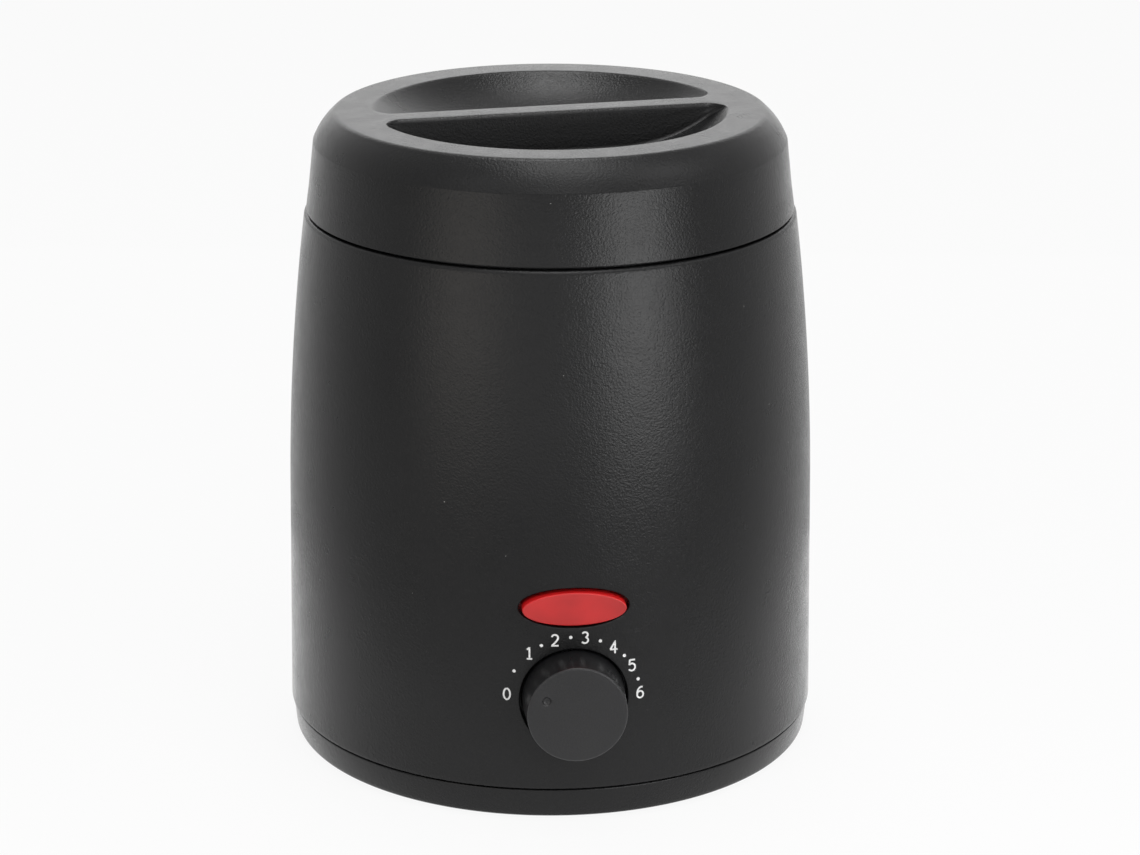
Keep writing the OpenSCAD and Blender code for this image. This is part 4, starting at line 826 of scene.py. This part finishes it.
def linerProfile():
    n = liner
    edge, lipEdge, roofEdge = n["edge"], n["lipEdge"], n["roofEdge"]
    return rounded([
        (0, n["roof"], 0), (n["inner"], n["roof"], roofEdge), (n["inner"], n["slopeInner"][0], edge),
        (n["lipInner"], n["slopeInner"][1], edge), (n["lipInner"], n["lipBottom"], lipEdge),
        (n["lipOuter"], n["lipBottom"], lipEdge), (n["lipOuter"], n["slopeOuter"][0], edge),
        (n["outer"], n["slopeOuter"][1], edge), (n["outer"], n["top"], roofEdge), (0, n["top"], 0)])


linerPiece = addPiece("lid_lining", *lathe(linerProfile(), 240), finishes["liner_black"], "lid", ["lid_liner"])
print("lid built")


# Knob: a hollow cap with a hub, a fine-textured face and a dimple

knob = {
    "z": dialHeight, "face": 69.35, "back": 56.85, "radius": 10.95, "backRadius": 11.39, "edge": 0.55,
    "wall": 1.6, "rim": 1.2, "front": 2, "hub": 4.6, "hubBack": 58.05, "bore": 3.06, "boreEnd": 3.3,
    "rest": 27.0, "dimpleAt": 7.55, "dimpleRadius": 1.0, "dimpleDeep": 0.6, "gridStep": 1.4,
    "dimple": [(1.18, 0.0), (1.06, 0.03), (1.0, 0.07), (0.9, 0.2),  # share of the radius, depth in the same shape
               (0.75, 0.31), (0.55, 0.39), (0.3, 0.44), (0.12, 0.45)],
}


def knobMesh():
    k = knob
    inner, innerFace, boreFace = k["radius"] - k["wall"], k["face"] - k["front"], k["face"] - k["boreEnd"]
    profile = rounded([
        (k["radius"] - k["rim"], k["face"], 0), (k["radius"], k["face"], k["edge"]),
        (k["backRadius"], k["back"], 0.3), (k["backRadius"] - k["wall"], k["back"], 0.3), (inner, innerFace, 0.5),
        (k["hub"], innerFace, 0.5), (k["hub"], k["hubBack"], 0.2), (k["bore"], k["hubBack"], 0),
        (k["bore"], boreFace, 0), (0, boreFace, 0)])
    return facingFront(lathe(profile, 192, closed=False), k["z"])


def knobFaceMesh():  # flat, but for the dimple that points at the dial's figures
    k = knob
    a = math.radians(180 - k["rest"])
    cx, cy = k["dimpleAt"] * math.cos(a), k["dimpleAt"] * math.sin(a)
    rings = []
    for share, sink in k["dimple"]:
        loop = ring(k["dimpleRadius"] * share, k["dimpleRadius"] * share, 40, cx, cy)
        rings.append(atHeight(loop, k["face"] - sink * k["dimpleDeep"] / k["dimple"][-1][1]))
    rim = ring(k["radius"] - k["rim"], k["radius"] - k["rim"], 192)
    lines = [i * k["gridStep"] for i in range(-7, 8)]
    grid = [(x, y) for x in lines for y in lines
            if math.hypot(x, y) < k["radius"] - 2 and math.hypot(x - cx, y - cy) > k["dimpleRadius"] * 1.6]
    flat, faces = fillBetween(rim, [[(x, y) for x, y, z in rings[0]]], grid)
    parts = [(atHeight(flat, k["face"]), faces)]
    parts += [bridge(rings[i], rings[i + 1]) for i in range(len(rings) - 1)]
    parts.append((rings[-1], [tuple(range(40))]))
    return facingFront(join(*parts), k["z"])


points, faces = join(knobMesh(), knobFaceMesh())
knobPiece = addPiece("knob_cap", points, faces, finishes["knob_black"], "dial", ["knob"], 40)
knobPiece.data.materials.append(knobFace)
for polygon in knobPiece.data.polygons:  # the face has its own finish
    if polygon.normal.y < -0.5 and polygon.center.y < -(knob["face"] - 0.6) * millimetre:
        polygon.material_index = 1
print("knob built")


# Lens: an oval cap with a flange behind the casing's wall

lens = {
    "z": lampHeight, "a": 11.35, "b": 3.8, "face": 61.40, "back": 54.88, "flange": 1.8, "flangeThick": 1.2,
    "wall": 1.5, "edge": 0.35, "count": 160, "gridX": 1.3, "gridY": 0.9, "gridClear": 2.6,
}


def lensMesh():
    d = lens
    edge, shelf = d["edge"], d["back"] + d["flangeThick"]
    quarter = [math.radians(q) for q in range(90, -1, -15)]
    rows = [(edge * (1 - math.cos(q)), d["face"] - edge * (1 - math.sin(q))) for q in quarter]
    rows += [(0.0, shelf), (-d["flange"], shelf), (-d["flange"], d["back"]),
             (d["wall"], d["back"]), (d["wall"], d["face"] - d["wall"])]
    loops = [atHeight(ring(d["a"] - inset, d["b"] - inset, d["count"]), depth) for inset, depth in rows]
    parts = [bridge(loops[i], loops[i + 1]) for i in range(len(loops) - 1)]
    a, b = d["a"] - d["gridClear"], d["b"] - d["gridClear"]
    grid = [(i * d["gridX"], j * d["gridY"]) for i in range(-9, 10) for j in range(-5, 6)]
    grid = [(x, y) for x, y in grid if (x / a) ** 2 + (y / b) ** 2 < 1]
    for loop in (loops[0], loops[-1]):
        flat, faces = fillBetween([(x, y) for x, y, z in loop], [], grid)
        parts.append((atHeight(flat, loop[0][2]), faces))
    return facingFront(join(*parts), d["z"])


lensPiece = addPiece("lamp_cover", *lensMesh(), finishes["lens_red"], "housing", ["lamp_lens"], 40)
print("lens built")


# Dial figures and dots, printed on the casing

dial = {
    "z": dialHeight, "radius": 14.7, "height": 2.95, "stroke": 0.38, "thick": 0.03, "sunk": 0.25, "dot": 0.37,
    "stretch": 0.12, "figures": [4.9, 48.2, 73.3, 99.2, 126.2, 150.7, 177.7],
    "dots": [27.2, 60.9, 87.0, 112.9, 138.9, 165.0],
}


def arcPath(cx, cy, rx, ry, start, end, steps=16):
    turns = [math.radians(start + (end - start) * k / steps) for k in range(steps + 1)]
    return [(cx + rx * math.cos(turn), cy + ry * math.sin(turn)) for turn in turns]


figureStrokes = {  # centre lines in a box 1 high, with the middle at 0, 0
    "0": [arcPath(0, 0, 0.235, 0.43, 90, 450, 32)],
    "1": [[(-0.17, 0.30), (0.02, 0.43)], [(0.02, 0.485), (0.02, -0.43)], [(-0.18, -0.43), (0.22, -0.43)]],
    "2": [arcPath(0, 0.19, 0.235, 0.24, 165, -30, 14) + [(0.10, -0.10), (-0.225, -0.43)],
          [(-0.27, -0.43), (0.26, -0.43)]],
    "3": [arcPath(-0.01, 0.225, 0.215, 0.205, 150, -80, 14), arcPath(-0.01, -0.20, 0.245, 0.23, 85, -150, 14)],
    "4": [[(0.10, -0.485), (0.10, 0.44), (-0.255, -0.17)], [(-0.28, -0.17), (0.29, -0.17)]],
    "5": [[(0.22, 0.43), (-0.17, 0.43)], [(-0.175, 0.46), (-0.21, 0.02)],
          arcPath(-0.02, -0.145, 0.25, 0.285, 140, -145, 16)],
    "6": [arcPath(0, -0.165, 0.235, 0.265, 90, 450, 24), arcPath(0.10, -0.10, 0.335, 0.53, 75, 190, 14)],
}


def isClosed(path):
    return math.hypot(path[0][0] - path[-1][0], path[0][1] - path[-1][1]) < 1e-6


def ribbon(path, width):  # the two sides of a stroke
    left, right = [], []
    closed = isClosed(path)
    last = len(path) - 1
    for i, p in enumerate(path):
        before = path[i - 1] if i else (path[last - 1] if closed else p)
        after = path[i + 1] if i < last else (path[1] if closed else p)
        a = Vector((p[0] - before[0], p[1] - before[1]))
        b = Vector((after[0] - p[0], after[1] - p[1]))
        a = a.normalized() if a.length > 0 else b.normalized()
        b = b.normalized() if b.length > 0 else a
        t = (a + b).normalized()
        n = Vector((-t.y, t.x)) * (width / 2 / max(0.55, t.dot(a)))
        left.append((p[0] + n.x, p[1] + n.y))
        right.append((p[0] - n.x, p[1] - n.y))
    return left, right


def printed(left, right, cx, cz, closeEnds):  # a stroke laid on the casing, with its back just under the surface
    points, faces = [], []
    count = len(left)
    for depth in (-dial["thick"], dial["sunk"]):
        for x, z in left + right:
            points.append(onCasing(cx + x, cz + z, depth))
    top, low = 0, 2 * count
    for i in range(count - 1):
        faces.append((top + i, top + i + 1, top + count + i + 1, top + count + i))
        faces.append((low + i, low + count + i, low + count + i + 1, low + i + 1))
        faces.append((top + i, low + i, low + i + 1, top + i + 1))
        faces.append((top + count + i, top + count + i + 1, low + count + i + 1, low + count + i))
    if closeEnds:
        for i in (0, count - 1):
            faces.append((top + i, top + count + i, low + count + i, low + i))
    return points, faces


def onDial(angle):
    a = math.radians(180 - angle)
    return dial["radius"] * math.cos(a), dial["z"] + dial["radius"] * math.sin(a)


def dialMarks():
    parts = []
    for number, angle in enumerate(dial["figures"]):
        cx, cz = onDial(angle)
        for path in figureStrokes[str(number)]:
            dense = []
            for (x0, y0), (x1, y1) in zip(path, path[1:]):
                steps = max(1, int(math.hypot(x1 - x0, y1 - y0) / dial["stretch"]))
                dense += [(x0 + (x1 - x0) * k / steps, y0 + (y1 - y0) * k / steps) for k in range(steps)]
            dense.append(path[-1])
            left, right = ribbon([(x * dial["height"], y * dial["height"]) for x, y in dense], dial["stroke"])
            parts.append(printed(left, right, cx, cz, not isClosed(path)))
    for angle in dial["dots"]:
        cx, cz = onDial(angle)
        dot = ring(dial["dot"], dial["dot"], 24)
        loops = [[onCasing(cx + x, cz + z, depth) for x, z in dot] for depth in (-dial["thick"], dial["sunk"])]
        parts.append(bridge(*loops))
        parts += [(loop, [tuple(range(24))]) for loop in loops]
    return join(*parts)


marks = addPiece("dial_figures", *dialMarks(), ink, "housing")
print("dial printed")


# Heated well, pot and bail

well = {"radius": 41.51, "wall": 1.5, "bottom": 51.0, "top": 122.65, "bend": 7.3, "flange": 52.81, "edge": 0.5}
pot = {
    "radius": 39.21, "wall": 1.2, "bottom": 53.0, "rim": 123.85, "bend": 5.0, "innerBend": 3.8, "bead": 1.3,
    "beadAt": 43.61, "beadZ": 122.65 + 0.05 + 1.3,
}


def wellProfile():
    w = well
    r, t, z0, z1 = w["radius"], w["wall"], w["bottom"], w["top"]
    return rounded([(0, z0, 0), (r, z0, w["bend"]), (r, z1 - t, w["edge"]), (w["flange"], z1 - t, 0.3),
                    (w["flange"], z1, 0.3), (r - t, z1, w["edge"] + t * 0.5), (r - t, z0 + t, w["bend"] - t),
                    (0, z0 + t, 0)], 8)


wellPiece = addPiece("well_cup", *lathe(wellProfile(), 240), finishes["well_alloy"], "housing", ["heating_well"])


def potProfile():
    r, t, floor, rim, bead, beadAt = (pot[key] for key in ("radius", "wall", "bottom", "rim", "bead", "beadAt"))
    lower = rounded([(0, floor, 0), (r, floor, pot["bend"]), (r, rim - t, 0.5), (beadAt - 1.0, rim - t, 0)], 8)
    turns = [math.radians(q) for q in range(-120, 200, 16)]
    roll = [(beadAt + bead * math.cos(q), pot["beadZ"] + bead * math.sin(q)) for q in turns]
    upper = rounded([(beadAt - bead, rim, 0), (r - t, rim, 1.0), (r - t, floor + t, pot["innerBend"]),
                     (0, floor + t, 0)], 8)
    return lower + roll + upper


potPiece = addPiece("pot_cup", *lathe(potProfile(), 240), finishes["pot_alloy"], "pot", ["wax_pot"])

bail = {
    "pivot": 127.95, "radius": 44.21, "bend": 2.5, "wire": 1.25, "pinStart": 37.91, "headThick": 0.95,
    "headShare": 1.5, "grip": 2.5, "gripAngle": 36.0, "gripSteps": 24, "gripShoulder": 0.86, "gripEnd": 0.72,
}


def bailPath():  # from one pin's head over the bend and round to the other
    b = bail
    bendAt = b["radius"] - b["bend"]
    half = [(b["pinStart"], 0.0, b["wire"] * b["headShare"]),
            (b["pinStart"] + b["headThick"], 0.0, b["wire"] * b["headShare"]),
            (b["pinStart"] + b["headThick"] + 0.05, 0.0, b["wire"]), (bendAt - 0.6, 0.0, b["wire"])]
    for k in range(10):
        a = math.radians(90 - 10 * k)
        half.append((bendAt + b["bend"] * math.cos(a), -b["bend"] + b["bend"] * math.sin(a), b["wire"]))
    for k in range(1, 31):
        a = math.radians(-3 * k)
        half.append((b["radius"] * math.cos(a), -b["bend"] + b["radius"] * math.sin(a), b["wire"]))
    whole = half + [(-x, y, r) for x, y, r in reversed(half[:-1])]
    return [(x, y, b["pivot"]) for x, y, r in whole], [r for x, y, r in whole]


def gripTube():
    b, steps = bail, bail["gripSteps"]
    path, radii = [], []
    for k in range(steps + 1):
        a = math.radians(270 - b["gripAngle"] / 2 + b["gripAngle"] * k / steps)
        path.append((b["radius"] * math.cos(a), -b["bend"] + b["radius"] * math.sin(a), b["pivot"]))
        t = abs(k - steps / 2) / (steps / 2)
        share = b["gripShoulder"] + (1 - b["gripShoulder"]) * (1 - t ** 4) if 0 < k < steps else b["gripEnd"]
        radii.append(b["grip"] * share)
    return tubeAlong(path, radii, 32)


bailPiece = addPiece("bail_wire", *tubeAlong(*bailPath(), 24), finishes["steel"], "bail", ["bail_handle"])
gripPiece = addPiece("bail_sleeve", *gripTube(), finishes["grip_black"], "bail", ["bail_grip"])
print("well, pot and bail built")


# Cord gland at the back

gland = {
    "bore": 3.1, "innerBore": 3.6, "step": 61.97, "neck": 6.0, "flange": 8.2, "inner": 51.57, "seat": 59.97,
    "flangeThick": 2.6, "shoulder": 1.5, "nose": 4.8, "end": 69.47,
}


def glandProfile():
    g = gland
    flangeEnd = g["seat"] + g["flangeThick"]
    return rounded([
        (g["innerBore"], g["inner"], 0.2), (g["neck"], g["inner"], 0.3), (g["neck"], g["seat"], 0),
        (g["flange"], g["seat"], 0.2), (g["flange"], flangeEnd, 1.2), (g["nose"] + g["shoulder"], flangeEnd, 0.6),
        (g["nose"], g["end"], 1.0), (g["bore"], g["end"], 0.4), (g["bore"], g["step"], 0),
        (g["innerBore"], g["step"] - 0.5, 0)])


points, faces = facingBack(lathe(glandProfile(), 128), glandHeight)
glandPiece = addPiece("gland_body", points, faces, finishes["liner_black"], "housing", ["cord_gland"])
print("gland built")


# Room, lights and camera

white = (1, 1, 1)
middle = (0, 0, 0.14)
lamps = {  # place, aim, size, power, colour
    "rightNear": ((0.155, -0.257, 0.11), (0, 0, 0.11), (0.15, 0.13), 0.43, white),
    "leftNear": ((-0.197, -0.226, 0.11), (0, 0, 0.11), (0.15, 0.13), 0.135, (1, 0.94, 0.87)),
    "frontNear": ((-0.04, -0.46, 0.08), (0, 0, 0.08), (0.46, 0.15), 0.20, white),
    "topFront": ((0.05, -0.35, 1.2), middle, (0.6, 0.6), 5.5, white),
    "frontMid": ((0.05, -0.80, 0.85), middle, (0.6, 0.5), 1.5, white),
    "rightHigh": ((0.62, -0.33, 0.80), middle, (0.45, 0.45), 1.4, white),
    "leftHigh": ((-0.55, -0.62, 0.80), middle, (0.35, 0.35), 0.6, white),
    "overBox": ((0, 0.25, 1.3), middle, (0.4, 0.4), 5.5, white),
    "backBox": ((0.1, 1.2, 0.62), middle, (1.4, 0.6), 2.4, white),
    "backNear": ((0.05, 0.42, 0.10), (0, 0, 0.10), (0.70, 0.19), 0.09, white),
    "lowGlow": ((0, 0, 0.002), (0, 0, 1), (0.30, 0.30), 0.13, white),  # lies on the floor, under the base
}
roomLook = {"floorHalf": 6, "floorMatte": (0.5, 0.5, 0.5, 1), "floorSeen": 0.92, "worldLight": 0.35, "worldSeen": 1.0}
view = {"sensor": 36.0, "focal": 103.18, "shift": 0.01728, "near": 0.01, "at": (-0.0620, -0.7174, 0.31036),
        "down": 18.31, "turn": -4.94}


def softbox(name, at, aim, size, power, color):
    light = bpy.data.lights.new(name, "AREA")
    light.shape = "ELLIPSE" if name == "lowGlow" else "RECTANGLE"
    light.size, light.size_y = size
    light.energy = power
    light.color = color
    holder = bpy.data.objects.new(name, light)
    holder.location = at
    holder.rotation_euler = (Vector(aim) - Vector(at)).to_track_quat("-Z", "Y").to_euler()
    holder.visible_camera = False
    bpy.context.scene.collection.objects.link(holder)


def directRays(tree):  # 1 for what the camera sees, straight or in a gloss or a glass
    rays = tree.nodes.new("ShaderNodeLightPath")
    seen = rays.outputs["Is Camera Ray"]
    for kind in ("Is Glossy Ray", "Is Transmission Ray"):
        either = tree.nodes.new("ShaderNodeMath")
        either.operation = "MAXIMUM"
        tree.links.new(seen, either.inputs[0])
        tree.links.new(rays.outputs[kind], either.inputs[1])
        seen = either.outputs[0]
    return seen


def seenOrLit(tree, output, share, lit, seen):  # one shader for light on the object, another for what is seen
    out = tree.nodes.new(output)
    mix = tree.nodes.new("ShaderNodeMixShader")
    tree.links.new(share, mix.inputs[0])
    tree.links.new(lit.outputs[0], mix.inputs[1])
    tree.links.new(seen.outputs[0], mix.inputs[2])
    tree.links.new(mix.outputs[0], out.inputs[0])


def paleFloor():
    half = roomLook["floorHalf"]
    mesh = bpy.data.meshes.new("floor")
    mesh.from_pydata([(-half, -half, 0), (half, -half, 0), (half, half, 0), (-half, half, 0)], [], [(0, 1, 2, 3)])
    floor = bpy.data.objects.new("floor", mesh)
    bpy.context.scene.collection.objects.link(floor)
    material = bpy.data.materials.new("paleFloor")
    material.use_nodes = True
    tree = material.node_tree
    tree.nodes.clear()
    share = tree.nodes.new("ShaderNodeMath")  # keeps a little of the object's shadow
    share.operation = "MULTIPLY"
    share.inputs[1].default_value = roomLook["floorSeen"]
    tree.links.new(directRays(tree), share.inputs[0])
    matte = tree.nodes.new("ShaderNodeBsdfDiffuse")
    matte.inputs[0].default_value = roomLook["floorMatte"]
    glow = tree.nodes.new("ShaderNodeEmission")
    glow.inputs[0].default_value = (*white, 1)
    seenOrLit(tree, "ShaderNodeOutputMaterial", share.outputs[0], matte, glow)
    mesh.materials.append(material)


def paleWorld():
    world = bpy.data.worlds.new("paleRoom")
    bpy.context.scene.world = world
    world.use_nodes = True
    tree = world.node_tree
    tree.nodes.clear()
    sides = []
    for strength in (roomLook["worldLight"], roomLook["worldSeen"]):
        side = tree.nodes.new("ShaderNodeBackground")
        side.inputs[0].default_value = (*white, 1)
        side.inputs[1].default_value = strength
        sides.append(side)
    seenOrLit(tree, "ShaderNodeOutputWorld", directRays(tree), *sides)


def addCamera():
    data = bpy.data.cameras.new("camera")
    data.sensor_width = view["sensor"]
    data.lens = view["focal"]
    data.shift_x = view["shift"]
    data.clip_start = view["near"]
    camera = bpy.data.objects.new("camera", data)
    camera.location = view["at"]
    camera.rotation_euler = (math.radians(90 - view["down"]), 0, math.radians(view["turn"]))
    bpy.context.scene.collection.objects.link(camera)
    bpy.context.scene.camera = camera


paleFloor()
paleWorld()
for name, values in lamps.items():
    softbox(name, *values)
addCamera()
bpy.context.scene.view_settings.view_transform = "Standard"
print("room, lights and camera set")
